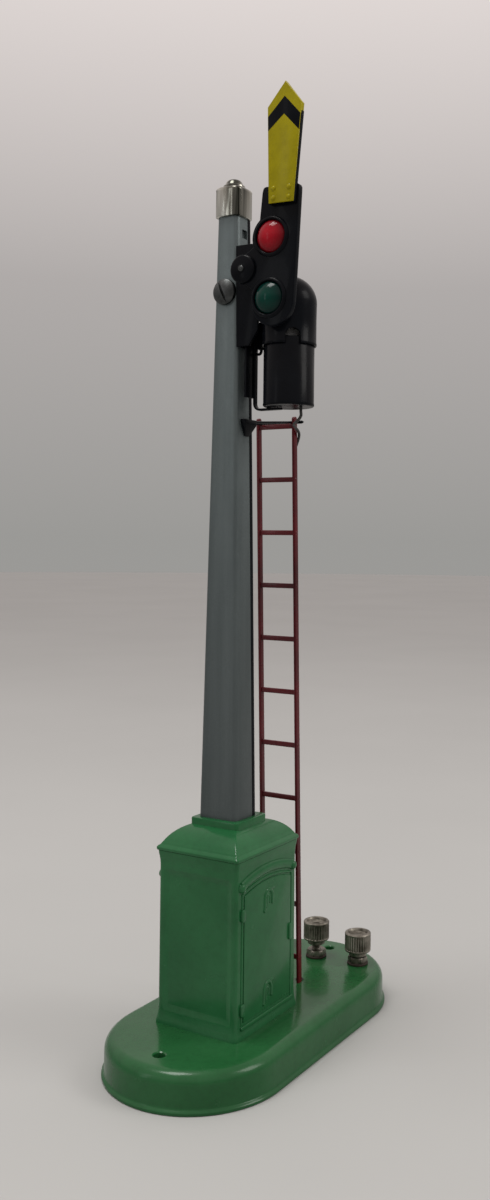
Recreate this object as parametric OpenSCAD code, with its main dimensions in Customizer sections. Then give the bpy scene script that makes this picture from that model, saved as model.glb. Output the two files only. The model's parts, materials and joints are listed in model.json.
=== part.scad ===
// Model railway semaphore signal with a lamp, a ladder and a solenoid in its relay house.
// X runs across the base, Y along it with the lenses facing -Y, and Z up from the floor.

/* [Base] */
// Radius of the round ends of the base, at its wall
base_r = 35.2; // [34:0.1:37]
// Half the straight length of the base
base_half = 38; // [36:0.5:42]
// Height of the top face of the base
base_h = 14.4; // [13:0.1:16]
// Distance between the two screw holes
hole_pitch = 123.6; // [118:0.1:128]
// Diameter of the screw holes
hole_d = 4.4; // [3.6:0.1:5]

/* [Relay house] */
// Width of the relay house across the base
house_w = 36.5; // [34:0.5:38]
// Length of the relay house along the base
house_l = 42; // [40:0.1:43]
// Place of the middle of the house along the base
house_y = -19.2; // [-20:0.1:-18.6]
// Height of the eaves above the floor
eave_z = 80.4; // [80:0.1:82]

/* [Mast] */
// Place of the mast along the base
mast_y = -20.9; // [-22:0.1:-20]
// Half width of the mast at its foot
mast_foot_w = 8.9; // [8.6:0.1:9.2]
// Half width of the mast at its top
mast_head_w = 4.9; // [4.8:0.1:5.2]
// Height of the mast's top end
mast_top = 336; // [334:1:338]

/* [Signal arm] */
// Sideways place of the arm's pivot
pivot_x = 12.4; // [12.3:0.1:12.6]
// Height of the arm's pivot
pivot_z = 304.4; // [304:0.1:305]
// Height of the tip of the raised blade
tip_z = 372.8; // [370:0.1:376]
// Distance of each lens from the pivot
lens_r = 16.7; // [16.5:0.1:16.9]
// Lean of the raised arm away from upright
arm_lean = 2; // [1:0.5:3]

/* [Ladder] */
// Distance between the middles of the two rails
ladder_w = 17.7; // [16:0.1:19]
// Distance between two rungs
rung_pitch = 22.35; // [22:0.05:22.5]

/* [Hidden] */
$fn = 64;
e = 0.01;
skin = 1.2;
lip = 1;
lip_h = 1.6;
edge_r = 4.6;
plate_t = 1;
boss_r = 4.6;
wire_hole_r = 9;
lead_hole = [7.5, 23.9];
lead_hole_r = 1.2;
foot_z = 92;
foot_screw_r = 1.5;
foot_screws = [[26, 40], [-26, 40], [26, -40], [-26, -40]];

house_t = 1;
corner_r = 1.4;
eave_out = 1;
eave_nose = 1.2;
eave_band = 2.9;
crease_in = 1.6;
vault_z = 89.7;
vault_steps = 9;
vault_start = 35;
vault_top = 8;
plinth = [11.1, 10.4];
panel = [15, 26.5];
panel_z = 46.5;
lug = [7, 6, 3];
lug_xy = [14, 17.4];
door = [34.4, 51];
door_z = 19.6;
door_rise = 2.6;

mast_foot = [mast_foot_w, 6.9];
mast_head = [mast_head_w, 4.75];
mast_t = 0.9;
strip_t = 2.2;
rod_hole_r = 2.4;
slot_z = [296.4, 312.6];
slot_y = [-3.2, 1.6];
sight_hole = [3.4, 3.5];
sight_z = 321.5;
cap_z = 328;
cap_half = 6;
cap_h = 12.2;
button_r = 5;
button_z = 344;

plate_y = -31.9;
plate_t2 = 2.6;
blade_t = 2.2;
hub_r = 5.6;
hub_t = 2;
shaft_r = 1.5;
crank_r = 7;
pin_r = 0.8;
bearing_r = 3;
bearing_y = -24;
bracket_y = [-26.6, -15.4];
bracket_z = [276, 315.6];
bracket_x = 15.6;
bracket_back_x = 12.4;
bracket_web = 7;
bracket_t = 1.2;
crank_y = -22.4;
crank_t = 1.2;
crank_a = (90 - arm_lean) / 2;
shaft_end = -21.5;
eye_t = 1.6;
screw_z = 298;
screw_head = [5.1, 3];

lamp_x = 24.5;
lamp_y = -17.7;
lamp_r = 10;
lamp_z = [252.4, 278.6];
lamp_t = 0.8;
hood_r = 10.7;
hood_z = 276;
hood_top = 303.2;
hood_gap = 0.05;
window_r = 6.8;
notch_r = 3;
notch_a = 40;
notch_top = 281.6;
lens_a = 44;
lens_rad = 6.8;
lens_dome = [6.3, 3];
ring_w = 1.5;
lead_exit = [3.4, 3.7];

ladder_y = [20.7, 12.1];
ladder_top = 252.5;
rung_z0 = 248.5;
rail = [1.2, 2.8];
stay_z = 250.3;
stay_r = 0.7;
arm_r = 0.55;
arm_x = 7.6;
clip_z = 247;
clip_y = [-24, -15.4];
clip_drop = 5.6;
lead_d = 1.2;

term = [[-20, 52], [0, 50], [20, 52]];
stud_r = 1.9;
stud_top = 27.2;
nut_gap = [0, 2.1, 0];
nut_z = [20, 28.3];
nut_r = 5.75;
collar_r = 3.9;
hex_r = 4.4;
hex_h = 2.4;

coil_z = [30, 58];
coil_r = 10.5;
bore_r = 4.2;
plunger_r = 4.12;
plunger_z = [24, 52];

// Half sizes of the mast at a height
function mast_at(z) = mast_foot + (mast_head - mast_foot) * (z - foot_z) / (cap_z - foot_z);
// Place of the ladder along the base at a height
function rail_y(z) = ladder_y[0] + (ladder_y[1] - ladder_y[0]) * (z - base_h) / (ladder_top - base_h);
// Middle of a lens on the arm, with a = 1 for the red one and -1 for the green one
function lens_uv(a) = [lens_r * cos(lens_a), a * lens_r * sin(lens_a)];
// Height of a lens of the raised arm, and its place across
function lens_z(a) = pivot_z - lens_uv(a)[0] * sin(arm_lean) + lens_uv(a)[1] * cos(arm_lean);
function lens_x(a) = pivot_x + lens_uv(a)[0] * cos(arm_lean) + lens_uv(a)[1] * sin(arm_lean);

// A rounded rectangle of the given half sizes
module round_box(half, r) {
    square([2 * (half[0] - r), 2 * half[1]], center = true);
    square([2 * half[0], 2 * (half[1] - r)], center = true);
    for (x = [-1, 1], y = [-1, 1])
        translate([x * (half[0] - r), y * (half[1] - r)]) circle(r);
}

// The plan of the base, grown by g
module base_plan(g) {
    square([2 * (base_r + g), 2 * base_half], center = true);
    for (y = [-1, 1]) translate([0, y * base_half]) circle(base_r + g, $fn = 128);
}

// The half section of the base, turned round both ends and drawn along between them
module base_turn() {
    for (s = [-1, 1]) translate([0, s * base_half, 0])
        intersection() {
            rotate_extrude($fn = 128) children();
            translate([-60, s > 0 ? 0 : -60, -1]) cube([120, 60, 40]);
        }
    translate([0, base_half, 0]) rotate([90, 0, 0])
        linear_extrude(2 * base_half) { children(); mirror([1, 0]) children(); }
}

// Half section of the base without its hollow
module base_section() {
    square([base_r + lip, lip_h]);
    square([base_r, base_h - edge_r]);
    square([base_r - edge_r, base_h]);
    translate([base_r - edge_r, base_h - edge_r]) intersection() {
        circle(edge_r);
        square(edge_r);
    }
}

// Half section of the hollow under the base
module hollow_section() {
    translate([0, -1]) square([base_r - skin, base_h - edge_r + 1]);
    translate([0, -1]) square([base_r - edge_r, base_h - skin + 1]);
    translate([base_r - edge_r, base_h - edge_r]) intersection() {
        circle(edge_r - skin);
        square(edge_r);
    }
}

module post(xy, z0, z1, r) {
    translate([xy[0], xy[1], z0]) cylinder(r = r, h = z1 - z0);
}

module base() {
    color("darkgreen") difference() {
        union() {
            difference() {
                base_turn() base_section();
                base_turn() hollow_section();
            }
            for (y = [-1, 1]) post([0, y * hole_pitch / 2], plate_t, base_h - skin / 2, boss_r);
            for (p = foot_screws) post(p, plate_t, base_h - skin / 2, 3);
        }
        for (y = [-1, 1]) post([0, y * hole_pitch / 2], -1, base_h + 1, hole_d / 2);
        for (p = foot_screws) post(p, -1, 8, foot_screw_r);
        for (t = term) post(t, base_h - 3, base_h + 1, 2.6);
        for (x = [-1, 1], y = [-1, 1])
            post([x * lug_xy[0], house_y + y * lug_xy[1]], 0, base_h + 1, foot_screw_r);
        post([0, mast_y], base_h - 4, base_h + 1, wire_hole_r);
        post(lead_hole, base_h - 4, base_h + 1, lead_hole_r);
    }
}

module bottom_plate() {
    color("dimgray") difference() {
        linear_extrude(plate_t) base_plan(-skin - 0.1);
        for (y = [-1, 1]) post([0, y * hole_pitch / 2], -1, 3, hole_d / 2);
        for (p = foot_screws) post(p, -1, 3, foot_screw_r + 0.2);
        for (x = [-1, 1], y = [-1, 1])
            post([x * lug_xy[0], house_y + y * lug_xy[1]], -1, 3, 3.2);
    }
}

// A pan-headed screw that points up, with its head under z
module screw_up(xy, z, len, r) {
    translate([xy[0], xy[1], z]) difference() {
        union() {
            translate([0, 0, -e]) cylinder(r = r, h = len);
            translate([0, 0, -1]) cylinder(r = 2 * r, h = 1);
        }
        translate([-0.35, -2 * r - 1, -1.1]) cube([0.7, 4 * r + 2, 0.6]);
    }
}

module plate_screws() {
    color("silver") for (p = foot_screws)
        translate([p[0], p[1], plate_t]) difference() {
            union() {
                cylinder(r = foot_screw_r - 0.02, h = 6.5);
                translate([0, 0, -0.8]) cylinder(r = foot_screw_r + 0.15, h = 0.8 + e);
            }
            translate([-0.35, -4, -1]) cube([0.7, 8, 0.6]);
        }
}

module house_screws() {
    color("silver") for (x = [-1, 1], y = [-1, 1])
        screw_up([x * lug_xy[0], house_y + y * lug_xy[1]], base_h - skin, 4, foot_screw_r - 0.02);
}

// Outline of a door opening with a shallow arched top, w wide and h tall to its crown
module arch(w, h, rise) {
    r = (w * w / 4 + rise * rise) / (2 * rise);
    translate([-w / 2, 0]) square([w, h - rise]);
    intersection() {
        translate([0, h - r]) circle(r, $fn = 128);
        translate([-w / 2, 0]) square([w, h]);
    }
}

// Relief of one arched double door, drawn on the plane it stands on
module door_relief() {
    linear_extrude(0.55) difference() {
        arch(door[0] + 1.8, door[1] + 0.9, door_rise);
        translate([0, -1]) arch(door[0], door[1] + 1, door_rise);
    }
    linear_extrude(1.1) difference() {
        translate([0, door[1] - 0.4]) arch(door[0] + 2.4, 5.6, door_rise);
        arch(door[0] + 8, door[1] + 1.9, door_rise);
    }
    for (s = [-1, 1]) translate([s * (door[0] / 2 + 0.4), door[1] + 1, 0])
        cylinder(r = 1.7, h = 1.6, $fn = 32);
    for (z = [6.4, 42.6]) translate([-0.8, z, 0]) linear_extrude(0.8) round_box([2.7, 4.3], 1.8);
    for (z = [5.4, 40.6]) translate([-door[0] / 2, z, 0]) linear_extrude(1) round_box([1.3, 2.4], 0.8);
    translate([door[0] / 2 - 1.2, 25.2, 0]) linear_extrude(0.9) round_box([1.1, 3.2], 0.8);
    translate([-door[0] / 2, -1.8, 0]) cube([door[0], 1.4, 0.9]);
}

module relay_house() {
    color("forestgreen") {
        difference() {
            translate([0, house_y, base_h]) linear_extrude(eave_z - base_h)
                round_box([house_w / 2, house_l / 2], corner_r);
            translate([0, house_y, base_h - 1]) linear_extrude(eave_z)
                round_box([house_w / 2 - house_t, house_l / 2 - house_t], corner_r - house_t);
            for (s = [-1, 1]) translate([0, house_y + s * house_l / 2, panel_z])
                rotate([90, 0, 0]) translate([0, 0, -0.35]) linear_extrude(0.7) round_box(panel, 1.2);
        }
        for (s = [-1, 1], t = [-1, 1]) intersection() {
            translate([s * lug_xy[0], house_y + t * lug_xy[1], base_h]) difference() {
                translate([-lug[0] / 2, -lug[1] / 2, 0]) cube(lug);
                translate([0, 0, -1]) cylinder(r = foot_screw_r, h = 6);
            }
            translate([0, house_y, base_h]) linear_extrude(5)
                round_box([house_w / 2 - 0.2, house_l / 2 - 0.2], corner_r);
        }
        for (s = [-1, 1]) translate([s * (house_w / 2 - e), house_y, door_z])
            rotate([90, 0, s * 90]) mirror([s > 0 ? 0 : 1, 0, 0]) door_relief();
    }
}

// Side outline of the roof over eaves w from the middle: a nosed band, then a low arched slope
module vault(w, drop) {
    h = vault_z - eave_z - eave_band - drop;
    w1 = w - crease_in;
    side = [for (k = [0:vault_steps]) let (a = vault_start + (90 - vault_start) * k / vault_steps)
        [vault_top + (w1 - vault_top) * cos(a) / cos(vault_start),
            eave_band + h * (sin(a) - sin(vault_start)) / (1 - sin(vault_start))]];
    half = concat([[w, 0], [w, eave_nose]], side);
    last = len(half) - 1;
    polygon(concat(half, [for (k = [last:-1:0]) [-half[k][0], half[k][1]]]));
}

// The vaulted block, smaller by in all round and lower by drop
module roof_solid(in, drop) {
    reach = 60;
    intersection() {
        translate([0, house_y + reach / 2, eave_z]) rotate([90, 0, 0])
            linear_extrude(reach) vault(house_w / 2 + eave_out - in, drop);
        translate([-reach / 2, house_y, eave_z]) rotate([90, 0, 90])
            linear_extrude(reach) vault(house_l / 2 + eave_out - in, drop);
    }
}

module house_roof() {
    skirt = 3;
    color("forestgreen") difference() {
        union() {
            roof_solid(0, 0);
            translate([0, house_y - 0.5, vault_z - 1]) linear_extrude(foot_z - vault_z + 1)
                round_box(plinth, 1.6);
            translate([0, house_y, eave_z - skirt]) linear_extrude(skirt + 1)
                round_box([house_w / 2 - house_t - 0.1, house_l / 2 - house_t - 0.1], 1.1);
        }
        translate([0, house_y, eave_z - skirt - 1]) linear_extrude(skirt + 3)
            round_box([house_w / 2 - house_t - 1, house_l / 2 - house_t - 1], 0.5);
        translate([0, 0, 0.5]) roof_solid(3.4, 2);
        translate([0, mast_y, eave_z + 1]) cylinder(r = rod_hole_r, h = 20);
    }
}

// The mast's outline from z0 to z1, smaller by g all round and by back behind
module tapered(z0, z1, g, back) {
    hull() for (z = [z0, z1]) translate([0, mast_y - back / 2, z]) linear_extrude(0.01)
        round_box([mast_at(z)[0] - g, mast_at(z)[1] - g - back / 2], max(0.2, 1.7 - g), $fn = 32);
}

module mast() {
    color("lightslategray") difference() {
        tapered(foot_z, mast_top, 0, strip_t);
        difference() {
            tapered(foot_z - 1, mast_top + 1, mast_t, strip_t);
            translate([-20, -40, foot_z - 2]) cube([40, 40, 3]);
        }
        translate([0, mast_y, foot_z - 1]) cylinder(r = rod_hole_r, h = 4);
        rod_slot(mast_foot[0]);
        translate([0, mast_y - 10, screw_z]) rotate([-90, 0, 0]) cylinder(r = 2.05, h = 8);
        translate([0, mast_y + 0.3 - sight_hole[0] / 2, sight_z - sight_hole[1] / 2])
            cube([mast_foot[0], sight_hole[0], sight_hole[1]]);
    }
}

// The slot in the mast's side and the bracket, from the middle out to x
module rod_slot(x) {
    translate([0, mast_y + slot_y[0], slot_z[0]])
        cube([x, slot_y[1] - slot_y[0], slot_z[1] - slot_z[0]]);
}

module mast_rear_strip() {
    color("black") hull() for (z = [foot_z, cap_z - 0.1])
        translate([0, mast_y + mast_at(z)[1] - strip_t / 2 + 0.01, z])
            linear_extrude(0.01) square([2 * mast_at(z)[0], strip_t], center = true);
}

module mast_cap() {
    color("silver") difference() {
        translate([0, mast_y, cap_z]) {
            hull() {
                linear_extrude(cap_h - 2) round_box([cap_half, cap_half], 2.2, $fn = 32);
                linear_extrude(cap_h - 0.6) round_box([cap_half - 0.8, cap_half - 0.8], 2, $fn = 32);
                linear_extrude(cap_h) round_box([cap_half - 2, cap_half - 2], 1.6, $fn = 32);
            }
            translate([0, 0, button_z - cap_z - 7]) rotate_extrude() intersection() {
                square([button_r, 7]);
                circle(7, $fn = 96);
            }
        }
        tapered(cap_z - 8, mast_top, -0.02, 0);
    }
}

// Places its children on the raised arm, drawn with the pivot at the origin and drawn out towards -Y from y
module on_arm(y) {
    translate([pivot_x, y, pivot_z]) rotate([0, arm_lean, 0]) rotate([90, 0, 0]) children();
}

module head_bracket() {
    z0 = bracket_z[0];
    z1 = bracket_z[1];
    y0 = bracket_y[0];
    y1 = bracket_y[1];
    color("#202226") difference() {
        union() {
            translate([0, y1, 0]) rotate([90, 0, 0]) linear_extrude(y1 - y0)
                polygon([[mast_at(z0)[0] + 0.02, z0], [bracket_web, z0], [bracket_web, z1],
                    [mast_at(z1)[0] + 0.02, z1]]);
            flange(y0, bracket_x);
            flange(y1 - bracket_t, bracket_back_x);
            translate([pivot_x, bearing_y, pivot_z]) rotate([90, 0, 0])
                cylinder(r = bearing_r, h = bearing_y - y0);
        }
        translate([pivot_x, -40, pivot_z]) rotate([-90, 0, 0]) cylinder(r = shaft_r + 0.05, h = 20);
        rod_slot(bracket_web + 1);
    }
}

// One flange of the head bracket, from y back by its thickness and out to x
module flange(y, x) {
    z0 = bracket_z[0];
    z1 = bracket_z[1];
    translate([0, y + bracket_t, 0]) rotate([90, 0, 0]) linear_extrude(bracket_t)
        polygon([[bracket_web - e, z0], [x - 4, z0], [x, z0 + 6], [x, z1 - 3], [x - 3, z1],
            [bracket_web - e, z1]]);
}

module bracket_screw() {
    y0 = mast_y - mast_at(screw_z)[1] - 0.08;
    color("gray") translate([0, y0, screw_z]) rotate([90, 0, 0]) difference() {
        union() {
            rotate_extrude() intersection() {
                translate([0, screw_head[1] - 9]) circle(9, $fn = 128);
                square(screw_head);
            }
            translate([0, 0, -1.6]) cylinder(r = 2, h = 1.6 + e);
        }
        rotate(24) translate([-0.55, -6, screw_head[1] - 1.3]) cube([1.1, 12, 3]);
    }
}

module bracket_nut() {
    y0 = mast_y - mast_at(screw_z)[1] + mast_t;
    color("gray") translate([0, y0 + 1.6, screw_z]) rotate([90, 0, 0]) difference() {
        cylinder(r = 3.4, h = 1.5, $fn = 6);
        translate([0, 0, -1]) cylinder(r = 2.02, h = 4);
    }
}

module pivot_shaft() {
    spacer_y = bracket_y[0] - 0.3;
    color("#202226") translate([pivot_x, 0, pivot_z]) rotate([90, 0, 0]) {
        translate([0, 0, -shaft_end]) cylinder(r = shaft_r, h = shaft_end - plate_y + 0.2);
        translate([0, 0, -spacer_y]) cylinder(r = 3.6, h = spacer_y - plate_y - plate_t2);
        rotate_extrude() translate([0, -plate_y]) intersection() {
            square([hub_r, hub_t]);
            translate([0, hub_t - 11.1]) circle(11.1, $fn = 128);
        }
        translate([0, 0, hub_t - plate_y - 0.2]) cylinder(r = 1.2, h = 0.6, $fn = 32);
    }
}

module shaft_collar() {
    color("gray") translate([pivot_x, crank_y + 0.6, pivot_z]) rotate([90, 0, 0]) difference() {
        cylinder(r = 1.9, h = 0.6 - 0.02);
        translate([0, 0, -1]) cylinder(r = shaft_r, h = 3);
    }
}

module crank_arm() {
    color("gray") translate([pivot_x, crank_y, pivot_z]) rotate([0, -crank_a, 0]) {
        difference() {
            rotate([90, 0, 0]) linear_extrude(crank_t) {
                circle(2.2);
                translate([-crank_r, -1.4]) square([crank_r, 2.8]);
                translate([-crank_r, 0]) circle(1.7);
            }
            rotate([90, 0, 0]) translate([0, 0, -1]) cylinder(r = shaft_r, h = 4);
        }
        translate([-crank_r, -crank_t + 0.2, 0]) rotate([-90, 0, 0]) cylinder(r = pin_r, h = 3.8);
    }
}

// Outline of the arm plate, with the pivot at the origin
module plate_outline() {
    hull() {
        translate([8.8, 29.1]) circle(1.6, $fn = 32);
        translate([22.1, 29.1]) circle(1.6, $fn = 32);
        translate([21.3, -6]) circle(1.6, $fn = 32);
        translate([13.6, -13.1]) circle(9.3, $fn = 32);
        translate([8.9, 16]) circle(1.6, $fn = 32);
        translate([9, -10]) circle(3, $fn = 32);
    }
    translate(lens_uv(1)) circle(lens_rad + ring_w + 0.4);
    circle(hub_r);
    hull() {
        circle(4.6, $fn = 32);
        translate([9.5, 5]) circle(5.5, $fn = 32);
        translate([9.5, -5]) circle(5.5, $fn = 32);
    }
}

module arm_plate() {
    color("#202226") difference() {
        on_arm(plate_y + plate_t2) linear_extrude(plate_t2) plate_outline();
        on_arm(0) cylinder(r = shaft_r, h = 60);
        for (a = [-1, 1]) on_arm(0) translate(lens_uv(a)) cylinder(r = lens_rad, h = 60);
    }
}

// Outline of the blade on the arm, with its pointed end up
module blade_outline() {
    u = 17.05;
    foot = [5.45, 23.4];
    shoulder = [7.55, 59.9];
    tip = (tip_z - pivot_z + u * sin(arm_lean)) / cos(arm_lean);
    polygon([[u - foot[0], foot[1]], [u + foot[0], foot[1]], [u + shoulder[0], shoulder[1]],
        [u, tip], [u - shoulder[0], shoulder[1]]]);
}

module signal_blade() {
    color("#b9a12c") on_arm(plate_y) linear_extrude(blade_t) blade_outline();
}

module blade_rivets() {
    color("silver") for (u = [13.6, 20.5], v = [25.2, 28.9])
        on_arm(plate_y - blade_t) translate([u, v]) rotate_extrude($fn = 32) intersection() {
            square([1, 0.5]);
            translate([0, -0.9]) circle(1.4);
        }
}

// One domed lens, with its flat back in the plate
module lens(a) {
    seat = 1.4;
    dome_r = (lens_dome[0] * lens_dome[0] + lens_dome[1] * lens_dome[1]) / (2 * lens_dome[1]);
    on_arm(plate_y + seat) translate(lens_uv(a)) {
        cylinder(r = lens_rad - 0.02, h = seat);
        translate([0, 0, seat - e]) rotate_extrude() intersection() {
            square([lens_dome[0], lens_dome[1] + e]);
            translate([0, lens_dome[1] + e - dome_r]) circle(dome_r, $fn = 128);
        }
    }
}

module red_lens() {
    color("crimson") lens(1);
}

module green_lens() {
    color("seagreen") lens(-1);
}

module lens_rings() {
    color("#202226") for (a = [-1, 1]) on_arm(plate_y) translate(lens_uv(a))
        rotate_extrude() difference() {
            translate([lens_dome[0] + 0.02, 0]) square([ring_w, 1]);
            translate([lens_dome[0] + ring_w + 0.3, 1.2]) circle(0.5, $fn = 32);
        }
}

module lamp_hood() {
    spring = hood_top - hood_r;
    color("#202226") translate([lamp_x, lamp_y, 0]) difference() {
        rotate_extrude() difference() {
            union() {
                translate([0, hood_z]) square([hood_r, spring - hood_z]);
                translate([0, spring]) intersection() {
                    circle(hood_r);
                    square(hood_r);
                }
            }
            translate([-1, hood_z - 1]) square([lamp_r + hood_gap + 1, spring - hood_z + 1]);
            translate([0, spring - 1]) circle(lamp_r + hood_gap);
        }
        translate([lens_x(-1) - lamp_x, 0, lens_z(-1)]) rotate([90, 0, 0]) cylinder(r = window_r, h = 20);
        rotate([90, 0, notch_a]) {
            translate([0, notch_top - notch_r, 0]) cylinder(r = notch_r, h = 20);
            translate([-notch_r, hood_z - 1, 0]) cube([2 * notch_r, notch_top - notch_r - hood_z + 1, 20]);
        }
    }
}

module lamp_body() {
    color("#202226") translate([lamp_x, lamp_y, 0]) difference() {
        post([0, 0], lamp_z[0], lamp_z[1], lamp_r);
        post([0, 0], lamp_z[0] + 1, lamp_z[1] + 1, lamp_r - lamp_t);
        post(lead_exit, lamp_z[0] - 1, lamp_z[0] + 2, lead_d / 2 + 0.1);
    }
}

module lamp_socket() {
    z = lamp_z[0] + 1;
    color("goldenrod") translate([lamp_x, lamp_y, 0]) difference() {
        union() {
            post([0, 0], z, z + 1.2, lamp_r - lamp_t - 0.1);
            post([0, 0], z, z + 17, 6);
        }
        post([0, 0], z + 4, z + 20, 5.1);
        post([0, 0], z - 1, z + 8, 2.4);
    }
}

module bulb() {
    color("lightyellow") translate([lamp_x, lamp_y, lamp_z[0]]) {
        post([0, 0], 5.1, 18.1, 5);
        post([0, 0], 18, 22, 3.4);
        translate([0, 0, 27.5]) sphere(r = 6.6);
    }
}

// A bent strap that carries the lamp: down beside the mast, then under the lamp's body
module lamp_bracket() {
    z = lamp_z[0] - 0.92;
    t = 0.9;
    bend = 3;
    x = 8.8;
    strap_y = -17;
    strap_w = 2.2;
    color("#202226") translate([0, strap_y, 0]) rotate([90, 0, 0]) linear_extrude(strap_w) {
        translate([x, z + bend]) square([t, 32]);
        translate([bracket_web + 0.02, z + 26]) square([x - bracket_web, bend + 6]);
        translate([x + bend, z + bend]) intersection() {
            difference() {
                circle(bend);
                circle(bend - t);
            }
            translate([-bend, -bend]) square(bend);
        }
        translate([x + bend - e, z]) square([lamp_x - x - bend - 2.6, t]);
    }
    color("#202226") translate([x - t, bracket_y[0] + 2.4, z + 5]) cube([t + e, 7.3, 30]);
}

// Route of the lamp lead, from the lamp down the back of the right ladder rail
lead_x = 7.5;
lead_behind = 2.3;
lead_start = [lamp_x + lead_exit[0], lamp_y + lead_exit[1]];
lead_path = concat(
    [[lead_start[0], lead_start[1], lamp_z[0] + 1], [lead_start[0], lead_start[1], 251], [27.4, -13, 249.6],
    [25.6, -11.2, 248.6], [22, -7.4, 247.9], [17, -1.4, 247.6], [13.6, 4.6, 247.5], [11.6, 9.2, 247.1],
    [10.8, 11.8, 246.5], [10.3, 13.7, 245.2], [9.2, 14.9, 243]],
    [for (z = [238:-7:28]) [lead_x, rail_y(z) + lead_behind, z]],
    [[lead_x, 22.9, 21], [lead_x, lead_hole[1], 14.4], [lead_x, lead_hole[1], 11]]);

function unit(v) = v / norm(v);
function tangent(p, i) = unit(p[min(i + 1, len(p) - 1)] - p[max(i - 1, 0)]);

// A round tube through the points p, with n sides
module tube(p, r, n) {
    rings = [for (i = [0:len(p) - 1]) let (
            t = tangent(p, i),
            s = unit(cross(t, [0.9, 0.1, 0.05])),
            u = cross(t, s))
        for (k = [0:n - 1]) p[i] + r * (s * cos(360 * k / n) + u * sin(360 * k / n))];
    m = len(p);
    sides = [for (i = [0:m - 2], k = [0:n - 1]) let (a = i * n, b = (k + 1) % n)
        [a + k, a + b, a + n + b, a + n + k]];
    polyhedron(rings, concat([[for (k = [n - 1:-1:0]) k]], sides,
        [[for (k = [0:n - 1]) (m - 1) * n + k]]), convexity = 10);
}

module lamp_lead() {
    color("#1a1a1a") tube(lead_path, lead_d / 2, 8);
}

module lead_grommet() {
    color("#1a1a1a") difference() {
        union() {
            post(lead_hole, base_h - 1.6, base_h + 0.4, lead_hole_r - 0.02);
            post(lead_hole, base_h, base_h + 0.6, lead_hole_r + 0.5);
        }
        post(lead_hole, base_h - 3, base_h + 3, lead_d / 2 + 0.1);
    }
}

module ladder() {
    tilt = atan((ladder_y[0] - ladder_y[1]) / (ladder_top - base_h));
    color("#5e1f22") intersection() {
        translate([0, ladder_y[0], base_h]) rotate([tilt, 0, 0]) {
            for (s = [-1, 1]) translate([s * ladder_w / 2 - rail[0] / 2, -rail[1] / 2, -2])
                cube([rail[0], rail[1], ladder_top - base_h + 2]);
            for (k = [0:10]) translate([-ladder_w / 2, -0.5, rung_z0 - base_h - k * rung_pitch - 1.05])
                cube([ladder_w, 1, 2.1]);
        }
        translate([-30, -10, base_h]) cube([60, 60, 300]);
    }
}

module ladder_stay() {
    reach = 2 * arm_x + 6.8;
    color("#202226") {
        for (s = [-1, 1]) stay_arm(s);
        translate([-arm_x - 3.4, stay_end(), stay_z]) rotate([0, 90, 0]) rotate_extrude()
            polygon([[0, 0], [stay_r, 0.3], [stay_r, reach], [0.15, reach + 1], [0, reach + 1]]);
    }
}

function stay_end() = rail_y(stay_z) + rail[1] / 2 + stay_r + 0.2;

// One wire of the stay, rising from the mast to the cross wire behind the ladder
module stay_arm(s) {
    y0 = mast_y + 2;
    run = stay_end() - y0;
    rise = atan((stay_z - clip_z) / run);
    translate([s * arm_x, y0, clip_z]) rotate([rise - 90, 0, 0]) cylinder(r = arm_r, h = run / cos(rise));
}

// Two wedges on the sides of the mast that hold the stay, the right one longer
module ladder_clip() {
    top = clip_z + 1;
    low = clip_z - clip_drop;
    out = arm_x + 0.9;
    near = mast_y + 1.2;
    color("#202226") for (ear = [[1, clip_y[0]], [-1, near]]) difference() {
        intersection() {
            translate([0, clip_y[1], 0]) rotate([90, 0, 0]) linear_extrude(clip_y[1] - ear[1])
                polygon([[ear[0] * (mast_at(top)[0] + 0.03), top],
                    [ear[0] * (mast_at(low)[0] + 0.03), low], [ear[0] * (mast_at(low)[0] + 0.5), low],
                    [ear[0] * out, clip_z - 1.4], [ear[0] * out, top]]);
            translate([-20, 0, 0]) rotate([90, 0, 90]) linear_extrude(40)
                polygon([[clip_y[0], top], [clip_y[0], top - 1.5], [-21.5, low], [-18.5, low],
                    [clip_y[1], top - 1.5], [clip_y[1], top]]);
        }
        stay_arm(ear[0]);
    }
}

module operating_rod() {
    rod_r = 0.9;
    clear = 0.55;
    wall = 1.25;
    eye_z = pivot_z - crank_r * sin(crank_a);
    near = pivot_x - crank_r;
    far = pivot_x - crank_r * cos(crank_a);
    eye_h = 2 * (pin_r + clear + wall);
    color("gray") difference() {
        union() {
            post([0, mast_y], plunger_z[1] - 6, eye_z, rod_r);
            translate([-1.6, mast_y - eye_t / 2, eye_z - eye_h / 2])
                cube([1.6 + far + pin_r + clear + wall, eye_t, eye_h]);
        }
        hull() for (x = [near - 0.35, far + 0.35]) translate([x, mast_y - 3, eye_z]) rotate([-90, 0, 0])
            cylinder(r = pin_r + clear, h = 6, $fn = 32);
    }
}

module plunger() {
    color("silver") translate([0, mast_y, plunger_z[0]]) difference() {
        cylinder(r = plunger_r, h = plunger_z[1] - plunger_z[0]);
        translate([0, 0, plunger_z[1] - plunger_z[0] - 6]) cylinder(r = 0.91, h = 7);
    }
}

module coil_bobbin() {
    color("saddlebrown") translate([0, mast_y, 0]) difference() {
        union() {
            translate([0, 0, coil_z[0]]) cylinder(r = 5, h = coil_z[1] - coil_z[0]);
            for (z = [coil_z[0], coil_z[1] - 1.2]) translate([0, 0, z]) cylinder(r = coil_r + 1, h = 1.2);
        }
        translate([0, 0, coil_z[0] - 1]) cylinder(r = bore_r, h = 40);
    }
}

module coil_winding() {
    color("darkgoldenrod") translate([0, mast_y, coil_z[0] + 1.2]) difference() {
        cylinder(r = coil_r, h = coil_z[1] - coil_z[0] - 2.4);
        translate([0, 0, -1]) cylinder(r = 5, h = 40);
    }
}

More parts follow.
